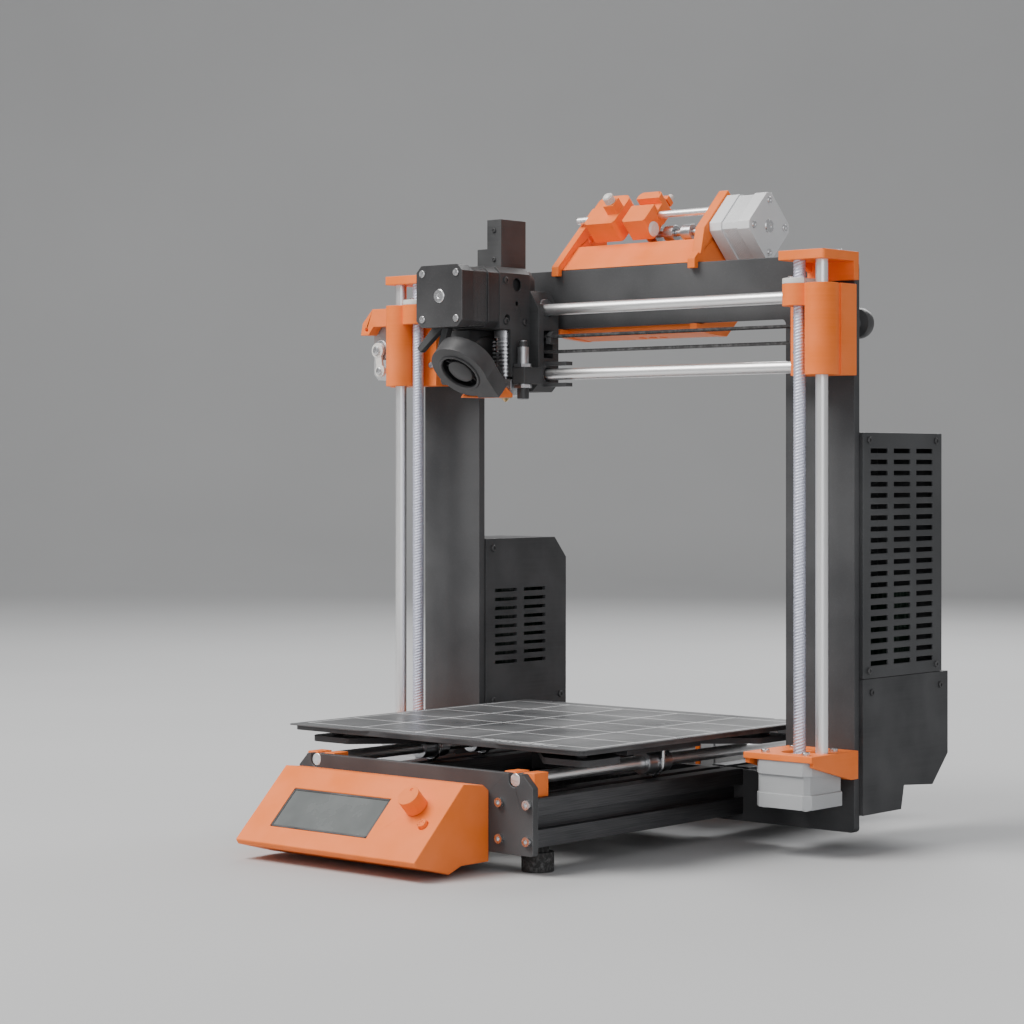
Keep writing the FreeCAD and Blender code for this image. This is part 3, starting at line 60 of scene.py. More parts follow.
LEFT = Vector((-1, 0, 0))


def sized(*points):
    """Points of a profile or an outline, from millimetres to metres; a third entry is kept."""
    return [(first * MM, second * MM, *rest) for first, second, *rest in points]


# ---------------------------------------------------------------- material tools
class Paint:
    """One material under construction, with short calls for the nodes that are used most."""

    def __init__(self, name, roughness=0.5, metallic=0.0, coat=0.0, shine=0.5):
        self.material = bpy.data.materials.new(name)
        self.material.use_nodes = True
        self.tree = self.material.node_tree
        self.shader = self.tree.nodes["Principled BSDF"]
        self.shader.inputs["Roughness"].default_value = roughness
        self.shader.inputs["Metallic"].default_value = metallic
        self.shader.inputs["Coat Weight"].default_value = coat
        self.shader.inputs["Specular IOR Level"].default_value = shine
        self.place = self.add("ShaderNodeTexCoord").outputs["Object"]
        self.height = None

    def add(self, kind, **settings):
        node = self.tree.nodes.new(kind)
        for key, value in settings.items():
            setattr(node, key, value)
        return node

    def feed(self, socket, value):
        """Link an output, or set a plain value."""
        if isinstance(value, bpy.types.NodeSocket):
            self.tree.links.new(value, socket)
        else:
            socket.default_value = value

    def math(self, operation, first, second=0.0):
        node = self.add("ShaderNodeMath", operation=operation)
        self.feed(node.inputs[0], first)
        self.feed(node.inputs[1], second)
        return node.outputs[0]

    def noise(self, grain, detail=3.0, stretch=(1, 1, 1)):
        """Noise whose features are about grain metres across, longer where stretch is large."""
        mapping = self.add("ShaderNodeMapping")
        mapping.inputs["Scale"].default_value = [1 / (grain * s) for s in stretch]
        self.feed(mapping.inputs["Vector"], self.place)
        node = self.add("ShaderNodeTexNoise")
        node.inputs["Scale"].default_value = 1.0
        node.inputs["Detail"].default_value = detail
        self.feed(node.inputs["Vector"], mapping.outputs["Vector"])
        return node.outputs[0]

    def spread(self, value, low, high, to_low=0.0, to_high=1.0):
        """Map low..high on to to_low..to_high, clamped."""
        node = self.add("ShaderNodeMapRange")
        self.feed(node.inputs["Value"], value)
        node.inputs["From Min"].default_value = low
        node.inputs["From Max"].default_value = high
        node.inputs["To Min"].default_value = to_low
        node.inputs["To Max"].default_value = to_high
        return node.outputs["Result"]

    def blend(self, amount, first, second):
        """Colour between first and second."""
        node = self.add("ShaderNodeMix", data_type="RGBA")
        self.feed(node.inputs["Factor"], amount)
        colours = [socket for socket in node.inputs if socket.type == "RGBA"]
        for socket, colour in zip(colours, (first, second)):
            self.feed(socket, colour if isinstance(colour, bpy.types.NodeSocket) else (*colour, 1))
        return [socket for socket in node.outputs if socket.type == "RGBA"][0]

    def along(self, direction):
        """Distance of the surface point along a direction, in metres."""
        node = self.add("ShaderNodeVectorMath", operation="DOT_PRODUCT")
        self.feed(node.inputs[0], self.place)
        node.inputs[1].default_value = direction
        return node.outputs["Value"]

    def edges(self, width=0.5 * MM):
        """1 on sharp edges, 0 on the flats between them."""
        soft = self.add("ShaderNodeBevel", samples=3)
        soft.inputs["Radius"].default_value = width
        turned = self.add("ShaderNodeVectorMath", operation="DOT_PRODUCT")
        self.feed(turned.inputs[0], soft.outputs["Normal"])
        self.feed(turned.inputs[1], self.add("ShaderNodeNewGeometry").outputs["Normal"])
        return self.spread(turned.outputs["Value"], 0.97, 0.80)

    def bump(self, height, depth, strength=0.6):
        """Add one layer of relief on top of those before it."""
        node = self.add("ShaderNodeBump")
        node.inputs["Strength"].default_value = strength
        node.inputs["Distance"].default_value = depth
        self.feed(node.inputs["Height"], height)
        if self.height is not None:
            self.feed(node.inputs["Normal"], self.height)
        self.height = node.outputs["Normal"]
        self.feed(self.shader.inputs["Normal"], self.height)

    def colour(self, value):
        self.feed(self.shader.inputs["Base Color"], value)

    def roughness(self, value):
        self.feed(self.shader.inputs["Roughness"], value)


def lighter(colour, amount):
    """Colour moved towards white, or towards black where amount is negative."""
    target = 1.0 if amount > 0 else 0.0
    return tuple(c + (target - c) * abs(amount) for c in colour)


def printed_plastic(name, colour, direction=(0, 0, 1), roughness=0.52):
    """Extruded layers stacked along a direction, with slight tone changes between them."""
    paint = Paint(name, roughness, shine=0.28)
    layer = 0.5 * MM
    wander = paint.math("MULTIPLY", paint.noise(9 * MM), 0.5)
    phase = paint.math("MULTIPLY", paint.along(direction), 2 * math.pi / layer)
    lines = paint.math("SINE", paint.math("ADD", phase, wander))
    tone = paint.noise(30 * MM, 4.0)
    bands = paint.noise(1.6 * MM, 2.0, [60 - 59 * abs(d) for d in direction])
    base = paint.blend(paint.spread(tone, 0.3, 0.7), lighter(colour, -0.10), lighter(colour, 0.04))
    base = paint.blend(paint.spread(bands, 0.35, 0.75, 0.0, 0.3), base, lighter(colour, 0.035))
    paint.colour(paint.blend(paint.spread(paint.edges(), 0, 1, 0, 0.5), base, lighter(colour, 0.12)))
    paint.roughness(paint.spread(tone, 0.3, 0.7, roughness - 0.06, roughness + 0.08))
    paint.bump(lines, 0.05 * MM, 0.45)
    paint.bump(paint.noise(0.5 * MM), 0.03 * MM, 0.3)
    return paint.material


def powder_coat(name, colour, roughness=0.52, metallic=0.0, grain=0.7 * MM, relief=0.05 * MM):
    """Orange-peel paint on sheet metal, rubbed lighter on its edges."""
    paint = Paint(name, roughness, metallic, shine=0.35)
    tone = paint.noise(55 * MM, 5.0)
    speck = paint.noise(grain, 2.0)
    base = paint.blend(paint.spread(tone, 0.3, 0.7), lighter(colour, -0.12), lighter(colour, 0.035))
    base = paint.blend(paint.spread(speck, 0.55, 0.8, 0, 0.25), base, lighter(colour, 0.12))
    worn = lighter(colour, 0.28)
    paint.colour(paint.blend(paint.spread(paint.edges(), 0, 1, 0, 0.55), base, worn))
    paint.roughness(paint.spread(tone, 0.3, 0.7, roughness - 0.08, roughness + 0.08))
    paint.bump(speck, relief, 0.6)
    return paint.material


def moulded(name, colour, roughness=0.45, grain=0.4 * MM):
    """Moulded plastic with a fine spark-eroded grain."""
    paint = Paint(name, roughness)
    tone = paint.noise(25 * MM, 3.0)
    dull, bright = lighter(colour, -0.1), lighter(colour, 0.05)
    paint.colour(paint.blend(paint.spread(tone, 0.3, 0.7), dull, bright))
    paint.roughness(paint.spread(tone, 0.3, 0.7, roughness - 0.07, roughness + 0.07))
    paint.bump(paint.noise(grain), 0.03 * MM, 0.5)
    return paint.material


def brushed_metal(name, colour, stretch, roughness=0.3):
    """Metal with fine drawn or turned lines along the axis where stretch is large."""
    paint = Paint(name, roughness, 1.0)
    lines = paint.noise(0.35 * MM, 3.0, stretch)
    tone = paint.noise(35 * MM, 3.0)
    base = paint.blend(paint.spread(lines, 0.3, 0.7), lighter(colour, -0.14), lighter(colour, 0.08))
    paint.colour(paint.blend(paint.spread(tone, 0.35, 0.7, 0, 0.4), base, lighter(colour, -0.12)))
    paint.roughness(paint.spread(lines, 0.25, 0.75, roughness - 0.08, roughness + 0.10))
    paint.bump(lines, 0.012 * MM, 0.4)
    return paint.material


def ground_rod(name, colour):
    """Hardened ground rod: bright and smooth, with a thin film of oil."""
    paint = Paint(name, 0.3, 1.0)
    oil = paint.noise(40 * MM, 2.0)
    paint.colour(paint.blend(paint.spread(oil, 0.3, 0.8), colour, lighter(colour, -0.04)))
    paint.roughness(paint.spread(oil, 0.3, 0.8, 0.36, 0.42))
    paint.bump(paint.noise(0.15 * MM, 1.0), 0.001 * MM, 0.1)
    return paint.material


def rubber(name, colour):
    """Dull rubber with dust in its pores."""
    paint = Paint(name, 0.8)
    dust = paint.noise(2.2 * MM, 5.0)
    paint.colour(paint.blend(paint.spread(dust, 0.45, 0.8), colour, lighter(colour, 0.10)))
    paint.roughness(paint.spread(dust, 0.3, 0.7, 0.72, 0.9))
    paint.bump(paint.noise(0.5 * MM), 0.04 * MM, 0.6)
    return paint.material


def print_surface(name, colour):
    """Textured dark coating on spring steel with a pale printed grid."""
    low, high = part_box("print_sheet")
    middle = (low + high) / 2
    cells = 5
    cell_x, cell_y = (high.x - low.x) * 0.96 / cells, (high.y - low.y) * 0.88 / cells
    paint = Paint(name, 0.5)
    across = paint.math("SUBTRACT", paint.along((1, 0, 0)), middle.x)
    deep = paint.math("SUBTRACT", paint.along((0, 1, 0)), middle.y)

    def line(place, cell):
        """1 within half a line's width of each grid line."""
        turns = paint.math("FRACT", paint.math("ADD", paint.math("DIVIDE", place, cell), 10.0))
        offset = paint.math("ABSOLUTE", paint.math("SUBTRACT", turns, 0.5))
        return paint.math("LESS_THAN", paint.math("MULTIPLY", offset, cell), 0.6 * MM)

    def inside(place, half):
        """1 within the grid's outer lines."""
        return paint.math("LESS_THAN", paint.math("ABSOLUTE", place), half + 0.7 * MM)

    grid = paint.math("MAXIMUM", line(across, cell_x), line(deep, cell_y))
    half_x, half_y = cells / 2 * cell_x, cells / 2 * cell_y
    field = paint.math("MULTIPLY", inside(across, half_x), inside(deep, half_y))
    grid = paint.math("MULTIPLY", grid, field)
    tone = paint.noise(60 * MM, 4.0)
    speck = paint.noise(0.45 * MM, 2.0)
    base = paint.blend(paint.spread(tone, 0.3, 0.7), lighter(colour, -0.1), lighter(colour, 0.06))
    base = paint.blend(paint.spread(speck, 0.5, 0.75, 0, 0.4), base, lighter(colour, 0.2))
    paint.colour(paint.blend(paint.math("MULTIPLY", grid, 0.85), base, (0.85, 0.86, 0.87)))
    paint.roughness(paint.spread(tone, 0.3, 0.7, 0.26, 0.40))
    paint.bump(speck, 0.06 * MM, 0.5)
    return paint.material


def display_glass(name, colour):
    """Satin window with smears, over a grey display."""
    paint = Paint(name, 0.25, coat=0.15, shine=0.3)
    smear = paint.noise(18 * MM, 5.0)
    wiped, greasy = lighter(colour, -0.05), lighter(colour, 0.02)
    paint.colour(paint.blend(paint.spread(smear, 0.35, 0.7), wiped, greasy))
    paint.roughness(paint.spread(smear, 0.3, 0.7, 0.22, 0.3))
    paint.bump(paint.noise(6 * MM), 0.01 * MM, 0.1)
    return paint.material


def solder_mask(name, colour):
    """Green board with paler tracks."""
    paint = Paint(name, 0.35, coat=0.3)
    tracks = paint.noise(3 * MM, 1.0, (1, 1, 6))
    paint.colour(paint.blend(paint.spread(tracks, 0.5, 0.54), colour, lighter(colour, 0.04)))
    paint.bump(tracks, 0.03 * MM, 0.3)
    return paint.material


PANEL_SLOPE = math.radians(44.3)
PANEL_OUT = (0, -math.sin(PANEL_SLOPE), math.cos(PANEL_SLOPE))
ORANGE = (1.0, 0.20, 0.016)
BLACK = (0.037, 0.038, 0.040)

FINISH = {
    "charcoal_paint": powder_coat("charcoal_paint", (0.046, 0.047, 0.050), 0.62),
    "dark_anodised": brushed_metal("dark_anodised", (0.085, 0.086, 0.092), (1, 80, 1), 0.42),
    "orange_print": printed_plastic("orange_print", ORANGE),
    "black_print": printed_plastic("black_print", BLACK, roughness=0.5),
    "polished_rod": ground_rod("polished_rod", (0.97, 0.97, 0.97)),
    "screw_steel": brushed_metal("screw_steel", (0.76, 0.78, 0.92), (20, 20, 1), 0.5),
    "plain_steel": brushed_metal("plain_steel", (0.55, 0.56, 0.58), (20, 20, 20), 0.32),
    "motor_grey": powder_coat("motor_grey", (0.46, 0.47, 0.48), 0.46, 0.2),
    "motor_black": powder_coat("motor_black", (0.026, 0.026, 0.028), 0.42),
    "bolt_steel": brushed_metal("bolt_steel", (0.74, 0.74, 0.75), (6, 6, 6), 0.26),
    "rubber": rubber("rubber", (0.020, 0.020, 0.020)),
    "belt_rubber": rubber("belt_rubber", (0.024, 0.024, 0.025)),
    "sheet_coat": print_surface("sheet_coat", (0.052, 0.054, 0.058)),
    "heater_board": moulded("heater_board", (0.020, 0.020, 0.023), 0.38),
    "tray_metal": powder_coat("tray_metal", (0.035, 0.035, 0.038)),
    "bare_aluminium": brushed_metal("bare_aluminium", (0.72, 0.73, 0.75), (12, 12, 12), 0.3),
    "white_nut": moulded("white_nut", (0.72, 0.71, 0.68), 0.36),
    "brass": brushed_metal("brass", (0.78, 0.55, 0.25), (10, 10, 10), 0.3),
    "black_mould": moulded("black_mould", (0.024, 0.024, 0.026), 0.42),
    "screen_glass": display_glass("screen_glass", (0.13, 0.14, 0.14)),
    "case_paint": powder_coat("case_paint", (0.046, 0.048, 0.051), 0.5, 0.1),
    "cover_print": printed_plastic("cover_print", (0.040, 0.041, 0.044)),
    "circuit": solder_mask("circuit", (0.006, 0.026, 0.014)),
    "rocker_black": moulded("rocker_black", (0.020, 0.020, 0.022), 0.25),
}
PANEL_PRINT = printed_plastic("panel_print", ORANGE, PANEL_OUT)
PALE_MOTOR = powder_coat("pale_motor", (0.78, 0.79, 0.80), 0.46, 0.1)
SHEET_INK = moulded("sheet_ink", (0.60, 0.61, 0.62), 0.5)


# ---------------------------------------------------------------- mesh tools
class Shape:
    """Mesh under construction, in the CAD frame."""

    def __init__(self):
        self.mesh = bmesh.new()

    def turned(self, profile, place, axis=UP, sides=32):
        """Revolve (radius, height) points; a third entry makes that ring six-sided."""
        turn = UP.rotation_difference(axis).to_matrix()
        rings = []
        for radius, height, *six in profile:
            if radius == 0:
                rings.append([self.mesh.verts.new(turn @ Vector((0, 0, height)) + place)])
                continue
            ring = []
            for step in range(sides):
                angle = 2 * math.pi * step / sides
                reach = radius
                if six:
                    corner = math.pi / 3
                    reach = radius * math.cos(corner / 2) / math.cos(angle % corner - corner / 2)
                point = Vector((reach * math.cos(angle), reach * math.sin(angle), height))
                ring.append(self.mesh.verts.new(turn @ point + place))
            rings.append(ring)
        for below, above in zip(rings, rings[1:]):
            for step in range(sides):
                after = (step + 1) % sides
                corners = [below[step % len(below)], below[after % len(below)],
                           above[after % len(above)], above[step % len(above)]]
                unique = list(dict.fromkeys(corners))
                if len(unique) > 2:
                    self.mesh.faces.new(unique)
        return self

    def plate(self, outline, thick, place, turn=Matrix.Identity(3)):
        """Flat closed outline in turn's own XY, made thick along its Z."""
        rings = [[self.mesh.verts.new(turn @ Vector((x, y, z)) + place) for x, y in outline]
                 for z in (0, thick)]
        self.mesh.faces.new(rings[0][::-1])
        self.mesh.faces.new(rings[1])
        count = len(outline)
        for step in range(count):
            after = (step + 1) % count
            self.mesh.faces.new((rings[0][step], rings[0][after], rings[1][after], rings[1][step]))
        return self

    def tube(self, rings):
        """Closed skin over rings of equally many vertices."""
        for below, above in zip(rings, rings[1:]):
            for step in range(len(below)):
                after = (step + 1) % len(below)
                self.mesh.faces.new((below[step], below[after], above[after], above[step]))
        self.mesh.faces.new(rings[0][::-1])
        self.mesh.faces.new(rings[-1])

    def finish(self, name, slot, body, bevel=0.0, material=None):
        """Turn the mesh into a piece that rides on a body."""
        bmesh.ops.recalc_face_normals(self.mesh, faces=self.mesh.faces)
        data = bpy.data.meshes.new(name)
        self.mesh.to_mesh(data)
        self.mesh.free()
        data.shade_smooth()
        data.set_sharp_from_angle(angle=math.radians(32))
        piece = bpy.data.objects.new(name, data)
        bpy.context.scene.collection.objects.link(piece)
        data.materials.append(material or FINISH[slot])
        if bevel:
            round_edges(piece, bevel)
        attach(piece, body)
        return piece


def round_edges(piece, width, angle=38):
    """Join the faces of a piece, round its sharp edges and shade its flats as flat."""
    join = piece.modifiers.new("join_faces", "WELD")
    join.merge_threshold = 0.001 * MM
    bevel = piece.modifiers.new("round_edges", "BEVEL")
    bevel.width = width
    bevel.segments = 2
    bevel.limit_method = "ANGLE"
    bevel.angle_limit = math.radians(angle)
    bevel.use_clamp_overlap = False
    shade = piece.modifiers.new("flat_shading", "WEIGHTED_NORMAL")
    shade.weight = 80


def centre_of(node):
    """Middle of a CAD node's box."""
    low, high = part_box(node)
    return (low + high) / 2


def socket_head(radius, height):
    """Profile of a round-edged screw head with a six-sided socket."""
    lip = 0.35 * MM
    key = radius * 0.52
    deep = height * 0.45
    return [(0, height - deep), (key, height - deep, True), (key, height, True),
            (radius - lip, height), (radius, height - lip), (radius, 0), (0, 0)]


def screws(name, places, body, radius=2.75 * MM, height=2.0 * MM, slot="bolt_steel"):
    """One piece holding a screw head at each (place, axis)."""
    shape = Shape()
    for place, axis in places:
        shape.turned(socket_head(radius, height), place, axis, 24)
    return shape.finish(name, slot, body)


def octagon(reach, nick):
    """Square outline with its corners cut off."""
    flat = reach - nick
    return [(-reach, -flat), (-flat, -reach), (flat, -reach), (reach, -flat),
            (reach, flat), (flat, reach), (-flat, reach), (-reach, flat)]


MIDDLE = centre_of("main_frame").x
ROD_PLANE = centre_of("left_lead_screw").y
SCREW_X = (centre_of("right_lead_screw").x - MIDDLE) / MM


def spot(x, y, z):
    """Millimetres from the upright plate's middle, the plane of the lead screws and the table."""
    return Vector((MIDDLE + x * MM, ROD_PLANE + y * MM, z * MM))


# ---------------------------------------------------------------- CAD nodes: finishes and soft edges
NO_BEVEL = {"fan_rotor", "blower_rotor", "drive_wheel", "heat_sink", "circuit_boards", "x_belt",
            "y_belt", "frame_bolts"}
EDGE = {"main_frame": 0.5 * MM, "panel_cover": 0.8 * MM, "supply_case": 0.5 * MM,
        "print_sheet": 0.15 * MM, "heated_plate": 0.3 * MM, "extruder_housing": 0.12 * MM}


def dress_frame():
    """Give every CAD node its slot's material, and round its sharp edges."""
    slots = {part["node"]: part["material_slot"] for part in frame["record"]["subparts"]}
    for name, node in frame["nodes"].items():
        node.data.materials.clear()
        node.data.materials.append(FINISH[slots[name]])
        if name not in NO_BEVEL:
            round_edges(node, EDGE.get(name, 0.35 * MM))
    for name in ("panel_cover", "panel_knob"):
        frame["nodes"][name].data.materials[0] = PANEL_PRINT
    frame["nodes"]["selector_motor"].data.materials[0] = PALE_MOTOR


# ---------------------------------------------------------------- drives
def lead_screw(node):
    """Four-start thread on an upright screw, in place of the plain bar."""
    low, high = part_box(node)
    middle = (low + high) / 2
    radius, depth, lead, starts = (high.x - low.x) / 2, 0.24 * MM, 8 * MM, 4
    pitch = lead / starts
    rows_per_pitch, sides = 8, 32
    rows = int((high.z - low.z) / (pitch / rows_per_pitch))
    shape = Shape()
    rings = []
    for row in range(rows + 1):
        z = low.z + (high.z - low.z) * row / rows
        ring = []
        for step in range(sides):
            angle = 2 * math.pi * step / sides
            turns = (z / pitch - starts * step / sides) % 1.0
            flank = min(max(abs(turns - 0.5) * 4 - 0.5, 0.0), 1.0)
            reach = radius - depth * flank
            ring.append(shape.mesh.verts.new((middle.x + reach * math.cos(angle),
                                              middle.y + reach * math.sin(angle), z)))
        rings.append(ring)
    shape.tube(rings)
    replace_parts(shape.finish(node + "_thread", "screw_steel", node), node)


def motor_details(name, rear, axis, side, long, body, spin=0.0, metal=None):
    """Laminations, corner screws and rear bearing of one motor, from its rear face's centre."""
    turn = UP.rotation_difference(axis).to_matrix() @ Matrix.Rotation(spin, 3, "Z")
    low, high = -0.7 * long, -0.3 * long
    plates = 11
    pitch = (high - low) / plates
    # the stack of a 42.3 mm motor is 39.5 mm wide
    waist = side * 39.5 / 42.3 / 2
    stack = Shape()
    for index in range(plates):
        stack.plate(octagon(waist + 0.15 * MM, 3.0 * MM), pitch * 0.6,
                    rear + axis * (low + (index + 0.2) * pitch), turn)
    stack.finish(name + "_laminations", "motor_grey", body, material=metal)
    reach = side / 2 - 5.6 * MM
    corners = [(rear + turn @ Vector((x * reach, y * reach, -0.1 * MM)), axis)
               for x in (-1, 1) for y in (-1, 1)]
    screws(name + "_case_screws", corners, body, 2.5 * MM, 1.0 * MM)
    cap = Shape().turned(sized((0, 0.25), (1.3, 0.25), (1.7, 0.6), (4.2, 0.6), (4.6, 0.3), (4.8, 0),
                               (0, 0)), rear, axis, 40)
    cap.finish(name + "_rear_bearing", "bolt_steel", body)


def motors():
    """Details of the lift, bed, cross, extruder and selector motors."""
    boss = 2 * MM
    low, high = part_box("z_motors")
    side = high.y - low.y
    for name, x in (("left_lift_motor", low.x + side / 2), ("right_lift_motor", high.x - side / 2)):
        motor_details(name, Vector((x, (low.y + high.y) / 2, low.z)), DOWN, side,
                      high.z - low.z - boss, "base")
    for node, axis, body in (("y_motor", RIGHT, "base"), ("x_motor", REAR, "gantry"),
                             ("extruder_motor", FRONT, "print_head")):
        low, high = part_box(node)
        long = abs((high - low).dot(axis))
        rear = (low + high) / 2 + axis * long / 2
        metal = FINISH["motor_black"] if node == "extruder_motor" else None
        motor_details(node, rear, axis, high.z - low.z, long - boss, body, metal=metal)
    low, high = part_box("selector_motor")
    rear = Vector((high.x, (low.y + high.y) / 2, (low.z + high.z) / 2))
    side, eighth_turn = 36 * MM, math.pi / 4
    motor_details("selector_motor", rear, RIGHT, side, high.x - low.x - boss, "base",
                  eighth_turn, PALE_MOTOR)


def belt_teeth(node, body, across, pulley_radius=5.0 * MM):
    """Moulded teeth along the inside of a belt loop; across is the loop's width axis."""
    low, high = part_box(node)
    middle = (low + high) / 2
    run = RIGHT if across == REAR else REAR
    width = abs((high - low).dot(across))
    half_span = abs((high - low).dot(run)) / 2 - (high.z - low.z) / 2
    pitch, deep, wide = 2 * MM, 0.7 * MM, 1.1 * MM
    profile = [(-wide / 2, 0), (wide / 2, 0), (wide * 0.3, deep), (-wide * 0.3, deep)]
    shape = Shape()
    for side in (1, -1):
        inward = UP * -side
        turn = Matrix((run, inward, across)).transposed()
        for index in range(1, int(2 * half_span / pitch)):
            place = middle + run * (index * pitch - half_span)
            place -= inward * pulley_radius + across * width / 2
            shape.plate(profile, width, place, turn)
    shape.finish(node + "_teeth", "belt_rubber", body)


# ---------------------------------------------------------------- fasteners
def fasteners():
    """Screw heads on the brackets, cases, fan and end blocks."""
    sides = (-1, 1)
    spread = (-15.5, 15.5)
    ring, nut_turns = 8.2, [math.radians(degrees) for degrees in (100, 180, 260)]
    nut_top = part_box("lead_nuts")[1].z / MM
    mount_top, bracket_top = 65, 383
    block_front, tower_front = 6.5, -20
    fan_left, housing_right, supply_right, case_right = -116, -64, 190, -133
    rows = (
        ("lift_motor_screws", "base", 2.75, 2.0, "bolt_steel", UP,
         [(side * SCREW_X + dx, dy, mount_top)
          for side in sides for dx in spread for dy in spread]),
        ("lead_nut_screws", "gantry", 1.7, 1.1, "bolt_steel", UP,
         [(side * (SCREW_X + ring * math.cos(turn)), ring * math.sin(turn), nut_top)
          for side in sides for turn in nut_turns]),
        ("end_block_screws", "gantry", 2.2, 1.3, "bolt_steel", FRONT,
         [(side * 159, block_front, z) for side in sides for z in (319, 341)]),
        ("top_bracket_screws", "base", 2.4, 1.4, "bolt_steel", UP,
         [(side * x, 17, bracket_top) for side in sides for x in (162, 184)]),
        ("fan_screws", "print_head", 1.9, 1.2, "bolt_steel", LEFT,
         [(fan_left, y, z) for y in (-27.5, 1) for z in (306.5, 335.5)]),
        ("housing_screws", "print_head", 2.4, 1.4, "black_mould", RIGHT,
         [(housing_right, y, z) for y, z in ((-21, 346), (-21, 374), (-1, 346))]),
        ("sensor_screws", "print_head", 1.7, 0.9, "black_mould", FRONT,
         [(-75.5, tower_front, z) for z in (389, 409)]),
        ("supply_screws", "base", 2.2, 1.2, "black_mould", RIGHT,
         [(supply_right, y, z) for y in (43, 123) for z in (115, 263)]),
        ("terminal_cover_screws", "base", 2.2, 1.2, "black_mould", RIGHT,
         [(supply_right, y, 101) for y in (46, 128)]),
        ("board_case_screws", "base", 2.4, 1.3, "black_mould", RIGHT,
         [(case_right, y, z) for y, z in ((44, 77), (119, 77), (44, 187))]),
    )
    for name, body, radius, height, slot, axis, places in rows:
        heads = [(spot(*place), axis) for place in places]
        screws(name, heads, body, radius * MM, height * MM, slot)


# ---------------------------------------------------------------- print head and gantry pieces
BLOWER_AT = (-77, -49, 314.5)
BLOWER_TILT = math.radians(45)
BLOWER_OUT = Vector((0, -math.cos(BLOWER_TILT), -math.sin(BLOWER_TILT)))
PROBE_AT = (-58.5, -9.0)
NOZZLE_AT = (-78, -5, 291)


def blower_details():
    """Rim round the blower's mouth, cap on its hub, and the arms that hang it from the motor."""
    centre = spot(*BLOWER_AT)
    face = centre + BLOWER_OUT * 6.5 * MM
    rim = Shape().turned(sized((13.5, -0.4), (13.5, 0.5), (14.0, 0.9), (15.0, 0.9), (15.6, 0.3),
                               (15.6, -0.4), (13.5, -0.4)), face, BLOWER_OUT, 64)
    rim.finish("blower_rim", "black_mould", "print_head")
    hub = Shape().turned(sized((0, 0.9), (7.6, 0.8), (9.1, 0.3), (9.6, -0.6), (9.6, -2.5),
                               (0, -2.5)), face - BLOWER_OUT * 1.2 * MM, BLOWER_OUT, 40)
    hub.finish("blower_hub_cap", "black_mould", "blower_rotor")
    arms = Shape()
    turn = Matrix((RIGHT, UP, FRONT)).transposed()
    hanger = sized((-24, 5), (-19.5, 2), (-11, 26.4), (-17, 26.4))
    strut = sized((-24.5, 29.5), (-41.5, 13.5), (-38.5, 10.2), (-18, 26.4))
    thick = 5 * MM
    arms.plate(hanger, thick, centre + REAR * 1 * MM, turn)
    arms.plate(strut, thick, centre + REAR * 2 * MM, turn)
    arms.finish("blower_arm", "black_print", "print_head", 0.5 * MM)


def probe_and_nozzle():
    """Black sensing tip and locking nuts of the bed probe, the brass nozzle and a cable clip."""
    tip = Shape().turned(sized((0, 0), (3.6, 0), (4.1, 0.5), (4.1, 8.5), (0, 8.5)),
                         spot(*PROBE_AT, 292.4), UP, 40)
    tip.turned(sized((0, 0), (3.0, 0), (3.0, 3.2), (0, 4.4)), spot(*PROBE_AT, 329), UP, 32)
    tip.finish("probe_tip", "black_mould", "print_head")
    nuts = Shape()
    for z in (300.2, 314.6):
        nuts.turned(sized((0, 0), (6.6, 0, True), (6.6, 2.2, True), (0, 2.2)),
                    spot(*PROBE_AT, z), UP, 36)
    nuts.finish("probe_nuts", "plain_steel", "print_head")
    nozzle = Shape().turned(sized((0, -0.02), (0.66, -0.02), (3.06, 2.4), (4.4, 2.4, True),
                                  (4.4, 3.9, True), (0, 3.9)), spot(*NOZZLE_AT), UP, 36)
    nozzle.finish("brass_nozzle", "brass", "print_head")
    clip = Shape().plate(sized((0, 0), (8, 0), (8, 9), (3, 9), (0, 6)), 4.5 * MM,
                         spot(-56.1, 12, 331), Matrix((REAR, UP, RIGHT)).transposed())
    clip.finish("carriage_clip", "black_print", "print_head", 0.5 * MM)


def belt_link():
    """Pale two-lobed link in front of the cross motor, on a spacer from the motor's face."""
    plate_y, thick = 9.6, 2.6
    lobes = [(-214, 331, 5.6), (-211.5, 316, 4.6)]
    shape, studs = Shape(), Shape()
    for x, z, radius in lobes:
        shape.turned(sized((0, thick), (radius, thick), (radius, 0), (0, 0)),
                     spot(x, plate_y, z), FRONT, 48)
        head = radius * 0.55
        studs.turned(sized((0, 1.5), (head * 0.65, 1.5), (head, 1.1), (head, 0), (0, 0)),
                     spot(x, plate_y - thick, z), FRONT, 28)
    top, low = (Vector((x, 0, z)) for x, z, radius in lobes)
    run = (low - top).normalized()
    turn = Matrix((run, REAR.cross(run), REAR)).transposed()
    reach, half = (low - top).length, 3
    shape.plate(sized((0, -half), (reach, -half), (reach, half), (0, half)), 2.2 * MM,
                spot(top.x, plate_y - 2.4, top.z), turn)
    shape.finish("belt_link", "white_nut", "gantry", 0.4 * MM)
    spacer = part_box("x_motor")[0].y - spot(0, plate_y, 0).y
    studs.turned([(0, spacer), (2.4 * MM, spacer), (2.4 * MM, 0), (0, 0)],
                 spot(low.x, plate_y, low.z), REAR, 28)
    studs.finish("belt_link_studs", "bolt_steel", "gantry")


# ---------------------------------------------------------------- selector pieces
SELECTOR_TILT = math.radians(45)
SELECTOR_UP = Vector((0, math.cos(SELECTOR_TILT), math.sin(SELECTOR_TILT)))
SELECTOR_OUT = Vector((0, -math.sin(SELECTOR_TILT), math.cos(SELECTOR_TILT)))


